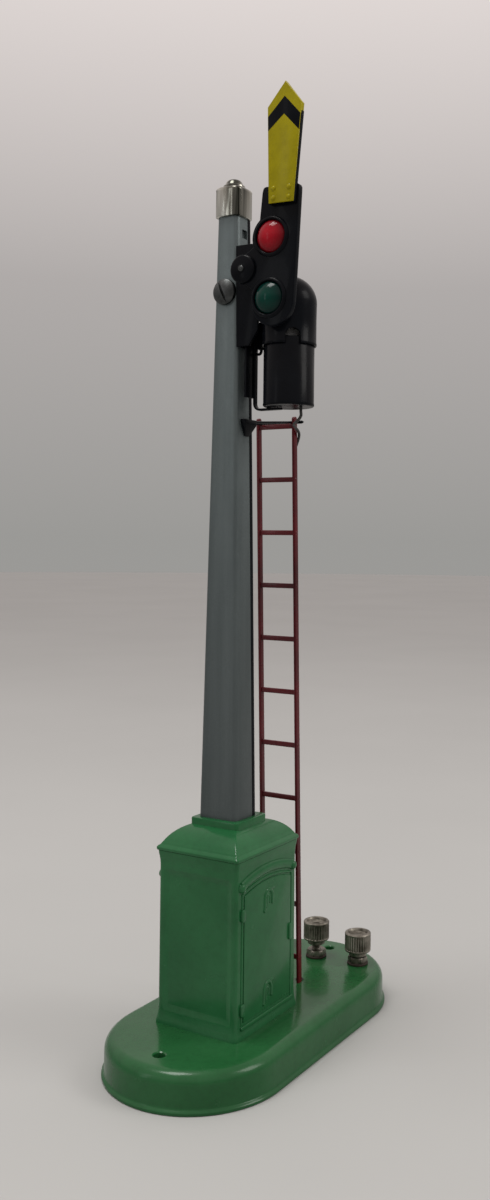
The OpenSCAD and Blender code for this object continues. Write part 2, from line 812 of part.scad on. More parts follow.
module coil_frame() {
    y = 13.2;
    color("gray") difference() {
        union() {
            for (z = [coil_z[0] - 1.6, coil_z[1]]) translate([-6, mast_y - y, z]) cube([12, 2 * y, 1.6]);
            for (s = [-1, 1]) translate([-6, s > 0 ? mast_y + y - 1.4 : mast_y - y, base_h])
                cube([12, 1.4, coil_z[1] - base_h + 1.6]);
            for (s = [-1, 1]) translate([-6, s > 0 ? mast_y + y - 1.4 : mast_y - y - 3.6, base_h])
                cube([12, 5, 1.4]);
        }
        translate([0, mast_y, coil_z[0] - 3]) cylinder(r = bore_r + 0.1, h = 40);
        for (s = [-1, 1]) translate([0, mast_y + s * (y + 1.9), base_h - 1]) cylinder(r = 1.2, h = 5);
    }
}

module frame_screws() {
    color("silver") for (s = [-1, 1]) translate([0, mast_y + s * 15.1, base_h + 1.4]) {
        cylinder(r = 1.6, h = 1);
        translate([0, 0, -1.4]) cylinder(r = 1.18, h = 1.5);
    }
}

module terminal_studs() {
    color("silver") for (t = term) {
        post(t, 6, stud_top, stud_r);
        post(t, 5, 6.6, 3.2);
    }
}

module terminal_washers() {
    color("#2a1a14") for (t = term) {
        post_hollow(t, base_h, base_h + 1, hex_r + 0.2, stud_r);
        post_hollow(t, base_h - skin - 1, base_h - skin, 5, stud_r);
    }
}

module post_hollow(xy, z0, z1, r, bore) {
    difference() {
        post(xy, z0, z1, r);
        post(xy, z0 - 1, z1 + 1, bore);
    }
}

// A hexagon nut on a terminal stud, from z up
module hex_nut(xy, z) {
    difference() {
        translate([xy[0], xy[1], z]) cylinder(r = hex_r, h = hex_h, $fn = 6);
        post(xy, z - 1, z + hex_h + 1, stud_r);
    }
}

module terminal_nuts() {
    color("silver") for (t = term) hex_nut(t, base_h + 1);
}

module stud_nuts() {
    color("silver") for (t = term) hex_nut(t, base_h - skin - 1 - hex_h);
}

// A knurled thumb nut on terminal i, with its collar down
module thumb_nut(i) {
    notches = 24;
    z0 = nut_z[0] + nut_gap[i];
    z1 = nut_z[1] + nut_gap[i];
    foot = base_h + 1 + hex_h + 0.3 + nut_gap[i];
    difference() {
        union() {
            post(term[i], z0, z1, nut_r);
            post(term[i], foot, z0 + e, collar_r);
        }
        post(term[i], base_h, base_h + 20, stud_r + 0.05);
        translate([term[i][0], term[i][1], 0]) {
            translate([0, 0, z1 - 0.8]) cylinder(r1 = stud_r, r2 = stud_r + 1, h = 0.81);
            for (k = [0:notches - 1]) rotate(k * 360 / notches)
                translate([nut_r + 0.1, -0.35, z0 + 0.8]) rotate(45) cube([0.5, 0.5, z1 - z0 - 1.6]);
        }
    }
}

module thumb_nut_left() {
    color("silver") thumb_nut(0);
}

module thumb_nut_middle() {
    color("silver") thumb_nut(1);
}

module thumb_nut_right() {
    color("silver") thumb_nut(2);
}

base();
bottom_plate();
plate_screws();
relay_house();
house_roof();
house_screws();
mast();
mast_rear_strip();
mast_cap();
head_bracket();
bracket_screw();
bracket_nut();
pivot_shaft();
shaft_collar();
crank_arm();
arm_plate();
signal_blade();
blade_rivets();
red_lens();
green_lens();
lens_rings();
lamp_hood();
lamp_body();
lamp_socket();
bulb();
lamp_bracket();
lamp_lead();
lead_grommet();
ladder();
ladder_stay();
ladder_clip();
operating_rod();
plunger();
coil_bobbin();
coil_winding();
coil_frame();
frame_screws();
terminal_studs();
terminal_washers();
terminal_nuts();
stud_nuts();
thumb_nut_left();
thumb_nut_middle();
thumb_nut_right();
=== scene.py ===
"""Looks of the model signal mast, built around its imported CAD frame.

Lengths in this file are millimetres in the row frame unless a name or comment says otherwise, and become
metres where a mesh is made. Places come from the boxes of the CAD nodes. Most shapes are drawn as (u, v, w)
and put in place by a small function: u and v lie in a face or a plan, and w stands out of it.
"""

import json
import math

import bmesh
import bpy
from mathutils import Matrix, Vector


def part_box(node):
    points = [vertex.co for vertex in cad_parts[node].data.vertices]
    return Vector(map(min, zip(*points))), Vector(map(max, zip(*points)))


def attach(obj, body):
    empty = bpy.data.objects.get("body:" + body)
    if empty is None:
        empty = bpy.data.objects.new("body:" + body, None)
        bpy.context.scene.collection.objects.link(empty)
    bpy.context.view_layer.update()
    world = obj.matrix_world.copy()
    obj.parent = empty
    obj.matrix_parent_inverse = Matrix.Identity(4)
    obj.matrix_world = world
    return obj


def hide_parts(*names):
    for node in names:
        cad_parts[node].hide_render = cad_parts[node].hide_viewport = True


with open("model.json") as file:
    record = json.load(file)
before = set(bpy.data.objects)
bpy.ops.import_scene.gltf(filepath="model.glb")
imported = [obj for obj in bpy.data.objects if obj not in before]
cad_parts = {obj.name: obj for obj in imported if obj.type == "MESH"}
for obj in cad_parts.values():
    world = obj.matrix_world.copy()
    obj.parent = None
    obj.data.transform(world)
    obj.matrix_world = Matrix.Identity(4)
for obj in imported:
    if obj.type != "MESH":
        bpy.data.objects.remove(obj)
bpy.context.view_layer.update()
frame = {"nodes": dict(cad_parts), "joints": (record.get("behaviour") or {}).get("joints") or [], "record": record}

MM = 0.001


# ---------------------------------------------------------------- places taken from the frame

def span(node):
    """Lowest and highest corner of a CAD node, in millimetres."""
    lo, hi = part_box(node)
    return lo / MM, hi / MM


def middle(node):
    lo, hi = span(node)
    return (lo + hi) / 2


BASE_HI = span("base")[1]
BASE_TOP = BASE_HI.z
ROOF_LO, ROOF_HI = span("house_roof")
EAVE = (ROOF_HI - ROOF_LO) / 2
EAVE_Z = ROOF_LO.z + 3
HOUSE_Y = middle("relay_house").y
MAST_LO, MAST_HI = span("mast")
MAST_Y = middle("mast_cap").y
CAP_LO, CAP_HI = span("mast_cap")
LAMP = middle("lamp_body")
LADDER_LO, LADDER_HI = span("ladder")
PIVOT = Vector(next(j["pos_m"] for j in frame["joints"] if j["name"] == "arm_swing")) / MM

LEAN = 2.0                        # degrees that the raised arm leans to the right
PLATE_FRONT = span("arm_plate")[0].y
PLATE_DEPTH = span("arm_plate")[1].y - PLATE_FRONT
BLADE_DEPTH = PLATE_FRONT - span("signal_blade")[0].y
BLADE_MID = 17.05                 # from the pivot across to the middle of the blade
LENS_R, LENS_ANGLE = 16.7, 44.0   # from the pivot to a lens, and its degrees above or below level
LENS_HOLE, LENS_EDGE = 6.8, 6.3   # radii of the hole in the plate and of the domed glass
HUB_R, HUB_RISE = 5.6, 2.0


def on_arm(y):
    """Places (u, v, w) of the raised arm: u across and v along from the pivot, w out of the plane y."""
    c, s = math.cos(math.radians(LEAN)), math.sin(math.radians(LEAN))
    return lambda u, v, w: Vector((PIVOT.x + u * c + v * s, y - w, PIVOT.z - u * s + v * c))


def upright(x, y, z=0.0):
    """Places (u, v, w) round an upright axis, w up."""
    return lambda u, v, w: Vector((x + u, y + v, z + w))


def facing(x, y, z):
    """Places (u, v, w) round an axis that points to the front, w out."""
    return lambda u, v, w: Vector((x + u, y - w, z + v))


def sideways(x, y, z):
    """Places (u, v, w) round an axis that points to the right, w out."""
    return lambda u, v, w: Vector((x + w, y + v, z - u))


def lens_place(sign):
    a = math.radians(LENS_ANGLE)
    return LENS_R * math.cos(a), sign * LENS_R * math.sin(a)


RED_CENTRE, GREEN_CENTRE = (on_arm(PLATE_FRONT)(*lens_place(s), 0) for s in (1, -1))


# ---------------------------------------------------------------- materials

MATERIALS = {}


class Nodes:
    """The shader nodes of one material, with short ways to add and link them."""

    OUTPUTS = {"ShaderNodeMix": 2, "ShaderNodeTexCoord": "Object", "ShaderNodeTexWave": "Fac",
               "ShaderNodeVectorMath": "Value", "ShaderNodeSeparateXYZ": "Z"}

    def __init__(self, name):
        self.material = MATERIALS[name] = bpy.data.materials.new(name)
        self.material.use_nodes = True
        self.tree = self.material.node_tree
        self.shader = self.tree.nodes["Principled BSDF"]
        self.coords = self.add("ShaderNodeTexCoord")

    def add(self, kind, **inputs):
        made = self.tree.nodes.new(kind)
        for name, value in inputs.items():
            made.inputs[name].default_value = value
        return made

    def link(self, source, target, socket):
        """Links the output that OUTPUTS names for this kind of node, or else its first one."""
        output = self.OUTPUTS.get(source.bl_idname, 0)
        self.tree.links.new(source.outputs[output], target.inputs[socket])

    def maths(self, operation, *values):
        """A maths node; values are numbers or nodes."""
        made = self.add("ShaderNodeMath")
        made.operation = operation
        for socket, value in enumerate(values):
            if isinstance(value, bpy.types.Node):
                self.link(value, made, socket)
            else:
                made.inputs[socket].default_value = value
        return made

    def noise(self, scale, detail=4.0, roughness=0.55, stretch=(1, 1, 1)):
        """Noise in object space, with scale in features per metre."""
        mapping = self.add("ShaderNodeMapping", Scale=stretch)
        self.link(self.coords, mapping, "Vector")
        made = self.add("ShaderNodeTexNoise", Scale=scale, Detail=detail, Roughness=roughness)
        self.link(mapping, made, "Vector")
        return made

    def ramp(self, source, *stops):
        """A colour ramp over a node, from (place, colour) stops; a colour may be one grey number."""
        made = self.add("ShaderNodeValToRGB")
        elements = made.color_ramp.elements
        while len(elements) < len(stops):
            elements.new(0.5)
        for element, (place, colour) in zip(elements, stops):
            element.position = place
            element.color = (*colour, 1) if isinstance(colour, tuple) else (colour, colour, colour, 1)
        self.link(source, made, "Fac")
        return made

    def mix(self, factor, a, b, blend="MIX"):
        """Mixes two colours; factor is a number or a node, and a and b are colours or nodes."""
        made = self.add("ShaderNodeMix")
        made.data_type, made.blend_type = "RGBA", blend
        for value, socket in ((factor, 0), (a, 6), (b, 7)):
            if isinstance(value, bpy.types.Node):
                self.link(value, made, socket)
            else:
                made.inputs[socket].default_value = (*value, 1) if socket else value
        return made

    def colour(self, source):
        self.link(source, self.shader, "Base Color")

    def rough(self, source, low, high, start=0.3, end=0.75):
        """Roughness from low to high where a node goes from start to end."""
        self.link(self.ramp(source, (start, low), (end, high)), self.shader, "Roughness")

    def bump(self, *layers):
        """Bumps stacked from (height node, strength, distance in metres)."""
        last = None
        for node, strength, distance in layers:
            made = self.add("ShaderNodeBump", Strength=strength, Distance=distance)
            self.link(node, made, "Height")
            if last:
                self.link(last, made, "Normal")
            last = made
        self.link(last, self.shader, "Normal")

    def set(self, **values):
        """Sets sockets of the shader, with _ for each space in a name."""
        for key, value in values.items():
            self.shader.inputs[key.replace("_", " ")].default_value = value


def enamel(name, colour, light, dark, roughness=(0.16, 0.30), chip=(0.05, 0.05, 0.045), chips=0.76,
           shine=(0.22, 0.12)):
    """Old gloss enamel: slow tone changes, fine dirt, orange peel and a few chips down to chip colour."""
    n = Nodes(name)
    tone = n.ramp(n.noise(28, 3), (0.30, dark), (0.52, colour), (0.78, light))
    darkening = n.ramp(n.noise(340, 6, 0.7), (0.30, 0.72), (0.55, 1.0))
    spots = n.ramp(n.noise(620, 3, 0.8), (chips, 0.0), (chips + 0.02, 1.0))
    n.colour(n.mix(spots, n.mix(0.5, tone, darkening, "MULTIPLY"), chip))
    n.rough(n.noise(90, 5), *roughness)
    n.bump((n.noise(260, 2), 0.10, 0.0004), (n.noise(1700, 2), 0.05, 0.0001), (spots, -0.25, 0.0001))
    n.set(Specular_IOR_Level=shine[0], Coat_Weight=shine[1], Coat_Roughness=0.08)


def plated(name, colour, stain, roughness, stretch=(1, 1, 1)):
    """Old plated or turned metal: cloudy tarnish, fine scratches and pits."""
    n = Nodes(name)
    n.colour(n.ramp(n.noise(160, 6, 0.65, stretch), (0.34, stain), (0.60, colour)))
    n.rough(n.noise(420, 5, 0.7, stretch), *roughness)
    n.bump((n.noise(900, 3, 0.6, stretch), 0.12, 0.0001), (n.noise(260, 2), 0.06, 0.0003))
    n.set(Metallic=1.0)


def aluminium_paint(name):
    """Aluminium paint on the mast: fine flake, faint upright streaks, and painted shade that darkens it toward the
    foot.
    """
    n = Nodes(name)
    streak = n.ramp(n.noise(130, 4, 0.6, (1, 1, 0.06)), (0.32, (0.098, 0.122, 0.125)),
                    (0.70, (0.148, 0.178, 0.181)))
    flake = n.ramp(n.noise(4200, 1), (0.42, 0.86), (0.66, 1.10))
    height = n.add("ShaderNodeSeparateXYZ")
    n.link(n.coords, height, 0)
    # Painted shade: the paint is darkened toward the mast's foot, by height alone.
    darkening = n.ramp(height, (0.10, 0.56), (0.30, 1.0))
    spots = n.ramp(n.noise(500, 4, 0.75), (0.755, 0.0), (0.78, 1.0))
    paint = n.mix(1.0, n.mix(0.7, streak, flake, "MULTIPLY"), darkening, "MULTIPLY")
    n.colour(n.mix(spots, paint, (0.05, 0.05, 0.047)))
    n.rough(n.noise(220, 4), 0.34, 0.50)
    n.bump((n.noise(3200, 2), 0.10, 0.00005), (n.noise(150, 2, 0.5, (1, 1, 0.2)), 0.08, 0.0005))
    n.set(Metallic=0.45)


def lens_glass(name, colour, rim_shade, centre):
    """Coloured lens glass with painted shade, bright in the middle and darkened toward its rim, and faint moulded
    waves.
    """
    n = Nodes(name)
    away = n.add("ShaderNodeVectorMath")
    away.operation = "DISTANCE"
    n.link(n.coords, away, 0)
    away.inputs[1].default_value = centre * MM
    waves = n.maths("MULTIPLY_ADD", n.noise(260, 3), 0.0012, away)
    scaled = n.maths("MULTIPLY", waves, 120)
    # Painted shade: the glass colour darkens from the middle out to near black at the rim.
    n.colour(n.ramp(scaled, (0.46, colour), (0.74, rim_shade), (0.90, (0.004, 0.004, 0.005))))
    n.rough(n.noise(300, 3), 0.08, 0.22, 0.3, 0.8)
    n.bump((n.noise(260, 2), 0.12, 0.0003))
    n.set(Transmission_Weight=0.05, IOR=1.5, Specular_IOR_Level=0.10, Coat_Weight=0.05, Coat_Roughness=0.06)


def polished_nickel(name):
    """Polished nickel plate that mirrors the room, with a little cloud and fine upright wiping marks."""
    n = Nodes(name)
    n.colour(n.ramp(n.noise(150, 3, 0.5, (1, 1, 0.08)), (0.40, (0.07, 0.07, 0.058)),
                    (0.50, (0.30, 0.29, 0.25)), (0.60, (0.56, 0.55, 0.50))))
    n.rough(n.noise(500, 5, 0.7, (1, 1, 0.2)), 0.06, 0.20, 0.35)
    n.bump((n.noise(190, 2, 0.5, (1, 1, 0.2)), 0.25, 0.001), (n.noise(1500, 2), 0.03, 0.0001))
    n.set(Metallic=1.0)


def clear_glass(name):
    n = Nodes(name)
    n.colour(n.ramp(n.noise(90, 2), (0.3, 0.90), (0.7, 0.98)))
    n.bump((n.noise(200, 2), 0.05, 0.0003))
    n.set(Transmission_Weight=0.85, Roughness=0.06, IOR=1.5)


def matt(name, colour, light, scale):
    """Fibre, rubber or cloth braid: a matt grained surface."""
    n = Nodes(name)
    n.colour(n.ramp(n.noise(scale, 5, 0.6), (0.3, colour), (0.75, light)))
    n.rough(n.noise(scale * 0.4, 4), 0.6, 0.85)
    n.bump((n.noise(scale * 2, 3, 0.6), 0.35, 0.0002))


def wound_wire(name):
    """Enamelled copper wire in close turns round an upright coil."""
    n = Nodes(name)
    wave = n.add("ShaderNodeTexWave", Scale=900, Distortion=0.4)
    wave.bands_direction = "Z"
    n.link(n.coords, wave, "Vector")
    n.colour(n.ramp(wave, (0.1, (0.10, 0.03, 0.01)), (0.7, (0.42, 0.15, 0.04))))
    n.bump((wave, 0.6, 0.0003))
    n.set(Metallic=0.6, Roughness=0.3)


enamel("base_enamel", (0.014, 0.092, 0.027), (0.021, 0.110, 0.036), (0.010, 0.076, 0.021))
enamel("house_enamel", (0.015, 0.112, 0.036), (0.022, 0.134, 0.047), (0.010, 0.092, 0.029), chips=0.79)
enamel("black_enamel", (0.004, 0.005, 0.007), (0.007, 0.008, 0.011), (0.003, 0.003, 0.004),
       (0.18, 0.36), (0.05, 0.045, 0.04), 0.79, (0.055, 0.03))
enamel("blade_enamel", (0.345, 0.295, 0.004), (0.400, 0.345, 0.012), (0.285, 0.238, 0.003),
       chip=(0.10, 0.09, 0.05), chips=0.80, shine=(0.09, 0.04))
enamel("ladder_enamel", (0.085, 0.004, 0.008), (0.130, 0.008, 0.013), (0.045, 0.002, 0.004),
       (0.2, 0.4), (0.08, 0.05, 0.04), 0.74)
plated("nickel", (0.46, 0.44, 0.38), (0.18, 0.165, 0.13), (0.20, 0.42))
plated("zinc_steel", (0.36, 0.36, 0.34), (0.16, 0.15, 0.13), (0.28, 0.5))
plated("gun_metal", (0.085, 0.09, 0.09), (0.035, 0.037, 0.037), (0.3, 0.5))
plated("dull_nickel", (0.30, 0.28, 0.24), (0.11, 0.10, 0.08), (0.34, 0.58))
plated("brass", (0.62, 0.42, 0.15), (0.34, 0.21, 0.08), (0.25, 0.5))
plated("plunger_iron", (0.34, 0.33, 0.32), (0.20, 0.19, 0.18), (0.3, 0.5), stretch=(1, 1, 8))
aluminium_paint("mast_aluminium_paint")
polished_nickel("bright_nickel")
lens_glass("red_glass", (0.38, 0.008, 0.018), (0.17, 0.003, 0.008), RED_CENTRE)
lens_glass("green_glass", (0.001, 0.040, 0.028), (0.001, 0.017, 0.014), GREEN_CENTRE)
clear_glass("bulb_glass")
matt("lead_cloth", (0.012, 0.012, 0.012), (0.035, 0.033, 0.03), 1800)
matt("black_rubber", (0.010, 0.010, 0.010), (0.025, 0.025, 0.025), 700)
matt("fibre", (0.020, 0.014, 0.010), (0.050, 0.032, 0.022), 900)
wound_wire("magnet_wire")


# ---------------------------------------------------------------- points and outlines

def arc(centre, radius, start, end, steps=8):
    """Points of a circular arc in a plane, with angles in degrees."""
    angles = [math.radians(start + (end - start) * k / steps) for k in range(steps + 1)]
    return [(centre[0] + radius * math.cos(a), centre[1] + radius * math.sin(a)) for a in angles]


def circle(radius, steps, turn=0.0):
    """Points round a circle about the origin, the first one at the angle turn in radians."""
    angles = [turn + 2 * math.pi * k / steps for k in range(steps)]
    return [(radius * math.cos(a), radius * math.sin(a)) for a in angles]


def rounded_rect(half_x, half_y, radii, steps=6):
    """Points of a rounded rectangle, anticlockwise; radii are for the corners ++, -+, --, +-."""
    if isinstance(radii, (int, float)):
        radii = (radii,) * 4
    points = []
    for (sx, sy), start, r in zip(((1, 1), (-1, 1), (-1, -1), (1, -1)), (0, 90, 180, 270), radii):
        points += arc((sx * (half_x - r), sy * (half_y - r)), r, start, start + 90, steps)
    return points


def stadium(radius, half, steps=48):
    """Points of a plan with two straight sides along Y and two round ends."""
    return arc((0, half), radius, 0, 180, steps) + arc((0, -half), radius, 180, 360, steps)


def arch_points(width, height, rise, steps=16):
    """Open arch outline from the left spring over the crown to the right spring."""
    radius = (width * width / 4 + rise * rise) / (2 * rise)
    reach = math.degrees(math.asin(width / 2 / radius))
    return arc((0, height - radius), radius, 90 + reach, 90 - reach, steps)


def shrink(outline, amount):
    """An outline scaled about the middle of its box, which gets smaller by amount on every side."""
    lo = [min(p[k] for p in outline) for k in (0, 1)]
    hi = [max(p[k] for p in outline) for k in (0, 1)]
    scale = [1 - 2 * amount / (hi[k] - lo[k]) for k in (0, 1)]
    mid = [(hi[k] + lo[k]) / 2 for k in (0, 1)]
    return [tuple(mid[k] + (p[k] - mid[k]) * scale[k] for k in (0, 1)) for p in outline]


def hull_of(*circles):
    """Convex outline round circles given as (x, y, radius), anticlockwise."""
    points = sorted({(round(px, 4), round(py, 4))
                     for x, y, r in circles for px, py in arc((x, y), r, 0, 360, 48)})
    chains = []
    for run in (points, list(reversed(points))):
        chain = []
        for p in run:
            while len(chain) > 1 and ((chain[-1][0] - chain[-2][0]) * (p[1] - chain[-2][1])
                                      <= (chain[-1][1] - chain[-2][1]) * (p[0] - chain[-2][0])):
                chain.pop()
            chain.append(p)
        chains += chain[:-1]
    return chains


def joined_outline(origin, shapes, steps=300):
    """Outline of overlapping shapes as seen from an origin inside them, anticlockwise."""
    points = []
    for dx, dy in circle(1, steps):
        far = 0.0
        for shape in shapes:
            for (ax, ay), (bx, by) in zip(shape, shape[1:] + shape[:1]):
                cross = dx * (by - ay) - dy * (bx - ax)
                if abs(cross) < 1e-9:
                    continue
                ox, oy = ax - origin[0], ay - origin[1]
                if 0 <= (ox * dy - oy * dx) / cross <= 1:
                    far = max(far, (ox * (by - ay) - oy * (bx - ax)) / cross)
        points.append((origin[0] + far * dx, origin[1] + far * dy))
    return points


def at_height(points, z, x=0.0, y=0.0):
    return [Vector((p[0] + x, p[1] + y, z)) for p in points]


def with_sides(path):
    """Each point of a flat path, with the direction across the path there."""
    for i, p in enumerate(path):
        before, after = Vector(path[max(i - 1, 0)]), Vector(path[min(i + 1, len(path) - 1)])
        along = (after - before).normalized()
        yield Vector(p), Vector((-along.y, along.x))


def rod(radius, low, high):
    """Profile of a plain round rod for lathe."""
    return [(0, low), (radius, low), (radius, high), (0, high)]


def dome(radius, sphere, rise):
    """Height of a spherical dome at a distance from its axis, where it is rise high."""
    return math.sqrt(sphere ** 2 - radius ** 2) - sphere + rise


# ---------------------------------------------------------------- meshes

def new_object(name, bm):
    """An object in metres from a bmesh in millimetres."""
    bmesh.ops.recalc_face_normals(bm, faces=bm.faces)
    bmesh.ops.scale(bm, vec=(MM, MM, MM), verts=bm.verts)
    mesh = bpy.data.meshes.new(name)
    bm.to_mesh(mesh)
    bm.free()
    made = bpy.data.objects.new(name, mesh)
    bpy.context.scene.collection.objects.link(made)
    return made


def smooth(mesh, angle=35.0):
    """Smooth shading that keeps edges sharper than an angle in degrees."""
    mesh.polygons.foreach_set("use_smooth", [True] * len(mesh.polygons))
    mesh.set_sharp_from_angle(angle=math.radians(angle))


def finish_mesh(name, bm, slot, smooth_angle=40.0, look=None):
    """Turns a bmesh into a visible piece, with its slot's material or another look."""
    made = new_object(name, bm)
    smooth(made.data, smooth_angle)
    made.data.materials.append(MATERIALS[look or slot])
    return made


def stand_for(piece, body, *nodes):
    """Moves a piece with a body and shows it in place of CAD nodes."""
    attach(piece, body)
    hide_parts(*nodes)


def carve(piece, *shapes):
    """Cuts closed shapes, each a bmesh, out of a piece."""
    cutters = [new_object("cutter", shape) for shape in shapes]
    for cutter in cutters:
        step = piece.modifiers.new("cut", "BOOLEAN")
        step.operation = "DIFFERENCE"
        step.solver = "EXACT"
        step.object = cutter
    bpy.context.view_layer.update()
    solved = bpy.data.meshes.new_from_object(piece.evaluated_get(bpy.context.evaluated_depsgraph_get()))
    piece.modifiers.clear()
    piece.data = solved
    for cutter in cutters:
        bpy.data.objects.remove(cutter)
    smooth(solved)


def loft(bm, rings, closed=False):
    """Skins rings of equal length, each a list of points, and caps the two ends or joins them if closed."""
    made = [[bm.verts.new(p) for p in ring] for ring in rings]
    if closed:
        made.append(made[0])
    count = len(made[0])
    for a, b in zip(made, made[1:]):
        for i in range(count):
            j = (i + 1) % count
            bm.faces.new((a[i], a[j], b[j], b[i]))
    if not closed:
        bm.faces.new(list(reversed(made[0])))
        bm.faces.new(made[-1])


def stack(bm, levels, y, steps=6):
    """Lofts rounded rectangles, each a (half_x, half_y, radii, height), round an upright axis at y."""
    loft(bm, [at_height(rounded_rect(half_x, half_y, radii, steps), z, 0, y)
              for half_x, half_y, radii, z in levels])


def lathe(bm, profile, place, steps=64, centre=(0, 0)):
    """Turns (radius, height) points round a centre; radius 0 makes a pole, and a profile may be closed."""
    closed = profile[0] == profile[-1]
    rings = [[bm.verts.new(place(centre[0] + u, centre[1] + v, height))
              for u, v in (circle(radius, steps) if radius > 1e-6 else [(0, 0)])]
             for radius, height in (profile[:-1] if closed else profile)]
    for a, b in zip(rings, rings[1:] + (rings[:1] if closed else [])):
        for k in range(steps):
            m = (k + 1) % steps
            if len(a) == 1:
                bm.faces.new((a[0], b[m], b[k]))
            elif len(b) == 1:
                bm.faces.new((a[k], a[m], b[0]))
            else:
                bm.faces.new((a[k], a[m], b[m], b[k]))
    for ring in (rings[0], rings[-1]):
        if len(ring) > 1 and not closed:
            bm.faces.new(ring)


def turned(*args, **options):
    """A new bmesh that holds one lathed shape."""
    bm = bmesh.new()
    lathe(bm, *args, **options)
    return bm


def slab(bm, outline, front, depth, bevel, place=upright(0, 0)):
    """A plate: its outline is extruded from front by depth, with rounded edges of size bevel."""
    size = len(outline)

    def inset(amount):
        ring = []
        for i in range(size):
            p, q, r = (Vector(outline[k % size]) for k in (i - 1, i, i + 1))
            a, b = (q - p).normalized(), (r - q).normalized()
            normal = Vector((-(a.y + b.y), a.x + b.x)).normalized()
            ring.append(q + normal * amount / max(0.35, normal.dot(Vector((-a.y, a.x)))))
        return ring

    rings = [(bevel * (1 - math.sin(a)), front + bevel * (1 - math.cos(a)))
             for a in (math.radians(30 * k) for k in range(4))]
    back = [(i, 2 * front + depth - w) for i, w in reversed(rings)]
    loft(bm, [[place(p.x, p.y, w) for p in inset(i)] for i, w in rings + back])


def block(bm, lo, hi, round_by=0.2):
    """A box with soft edges between two corners."""
    mid = [(a + b) / 2 for a, b in zip(lo, hi)]
    half = [(b - a) / 2 for a, b in zip(lo, hi)]
    corner = min(round_by * 1.5, half[0] * 0.6, half[1] * 0.6)
    slab(bm, rounded_rect(half[0], half[1], corner, 4), lo[2], hi[2] - lo[2], round_by, upright(*mid[:2]))


def bead(bm, path, place, radius, flat=0.55, steps=8):
    """A rounded bead along an open path on a face, flat times as high as its radius and sunk a little."""
    rings = []
    for p, side in with_sides(path):
        ring = []
        for u, w in arc((0, 0), radius, 0, 180, steps):
            ring.append(place(*(p + side * u), w * flat))
        ring += [place(*(p + side * radius * u), -0.4) for u in (-0.98, 0.98)]
        rings.append(ring)
    loft(bm, rings)


def tube(bm, line, radius, steps, fine=3):
    """A round tube along a smoothed line, with fine points for each stretch."""
    points = []
    for i in range(len(line) - 1):
        p0, p1, p2, p3 = (line[min(max(k, 0), len(line) - 1)] for k in range(i - 1, i + 3))
        for t in (k / fine for k in range(fine)):
            points.append(0.5 * ((2 * p1) + (p2 - p0) * t + (2 * p0 - 5 * p1 + 4 * p2 - p3) * t * t
                                 + (3 * p1 - p0 - 3 * p2 + p3) * t ** 3))
    points.append(line[-1])
    side = (points[1] - points[0]).orthogonal()
    rings = []
    for i, p in enumerate(points):
        along = (points[min(i + 1, len(points) - 1)] - points[max(i - 1, 0)]).normalized()
        side = (side - along * side.dot(along)).normalized()
        other = along.cross(side)
        rings.append([p + side * u + other * v for u, v in circle(radius, steps)])
    loft(bm, rings)


# ---------------------------------------------------------------- camera, light and floor

EYE_M = (0.25284, -0.38362, 0.20129)
AZIMUTH, ELEVATION, ROLL = 29.87, -0.94, 0.58   # degrees
FOCAL = 33.36
SHIFT = (-0.0691, -0.0659)


def make_camera():
    data = bpy.data.cameras.new("camera")
    data.sensor_width = 36
    data.lens = FOCAL
    data.shift_x, data.shift_y = SHIFT
    data.clip_start, data.clip_end = 0.01, 50
    camera = bpy.data.objects.new("camera", data)
    az, el = math.radians(AZIMUTH), math.radians(ELEVATION)
    ahead = Vector((-math.sin(az) * math.cos(el), math.cos(az) * math.cos(el), -math.sin(el)))
    right = Vector((math.cos(az), math.sin(az), 0))
    up = right.cross(ahead)
    turn = Matrix((right, up, -ahead)).transposed() @ Matrix.Rotation(math.radians(ROLL), 3, "Z")
    camera.matrix_world = Matrix.Translation(EYE_M) @ turn.to_4x4()
    bpy.context.scene.collection.objects.link(camera)
    bpy.context.scene.camera = camera


def area_light(name, place, aim, size, power, colour):
    """A rectangular light, with its place, aim and size in metres."""
    data = bpy.data.lights.new(name, "AREA")
    data.shape = "RECTANGLE"
    data.size, data.size_y = size
    data.energy = power
    data.color = colour
    light = bpy.data.objects.new(name, data)
    light.location = place
    light.rotation_mode = "QUATERNION"
    light.rotation_quaternion = (Vector(aim) - Vector(place)).to_track_quat("-Z", "Y")
    bpy.context.scene.collection.objects.link(light)


def make_floor():
    bm = bmesh.new()
    bmesh.ops.create_circle(bm, cap_ends=True, radius=6000, segments=96)
    floor = new_object("floor", bm)
    n = Nodes("floor_paint")
    n.colour(n.ramp(n.noise(3, 3), (0.3, (0.420, 0.424, 0.414)), (0.7, (0.445, 0.449, 0.439))))
    n.set(Roughness=0.7)
    floor.data.materials.append(n.material)


def make_world():
    """A pale studio wall, brighter overhead and dimmer toward the horizon."""
    world = bpy.data.worlds.new("world")
    bpy.context.scene.world = world
    world.use_nodes = True
    tree = world.node_tree
    add = tree.nodes.new
    coords, split, ramp = add("ShaderNodeTexCoord"), add("ShaderNodeSeparateXYZ"), add("ShaderNodeValToRGB")
    tree.links.new(coords.outputs["Generated"], split.inputs["Vector"])
    tree.links.new(split.outputs["Z"], ramp.inputs["Fac"])
    stops = ramp.color_ramp.elements
    stops[0].position, stops[0].color = 0.0, (0.325, 0.320, 0.308, 1)
    stops[1].position, stops[1].color = 0.46, (0.760, 0.700, 0.680, 1)
    stops.new(0.22).color = (0.430, 0.405, 0.395, 1)
    tree.links.new(ramp.outputs["Color"], tree.nodes["Background"].inputs["Color"])
    tree.nodes["Background"].inputs["Strength"].default_value = 1.0


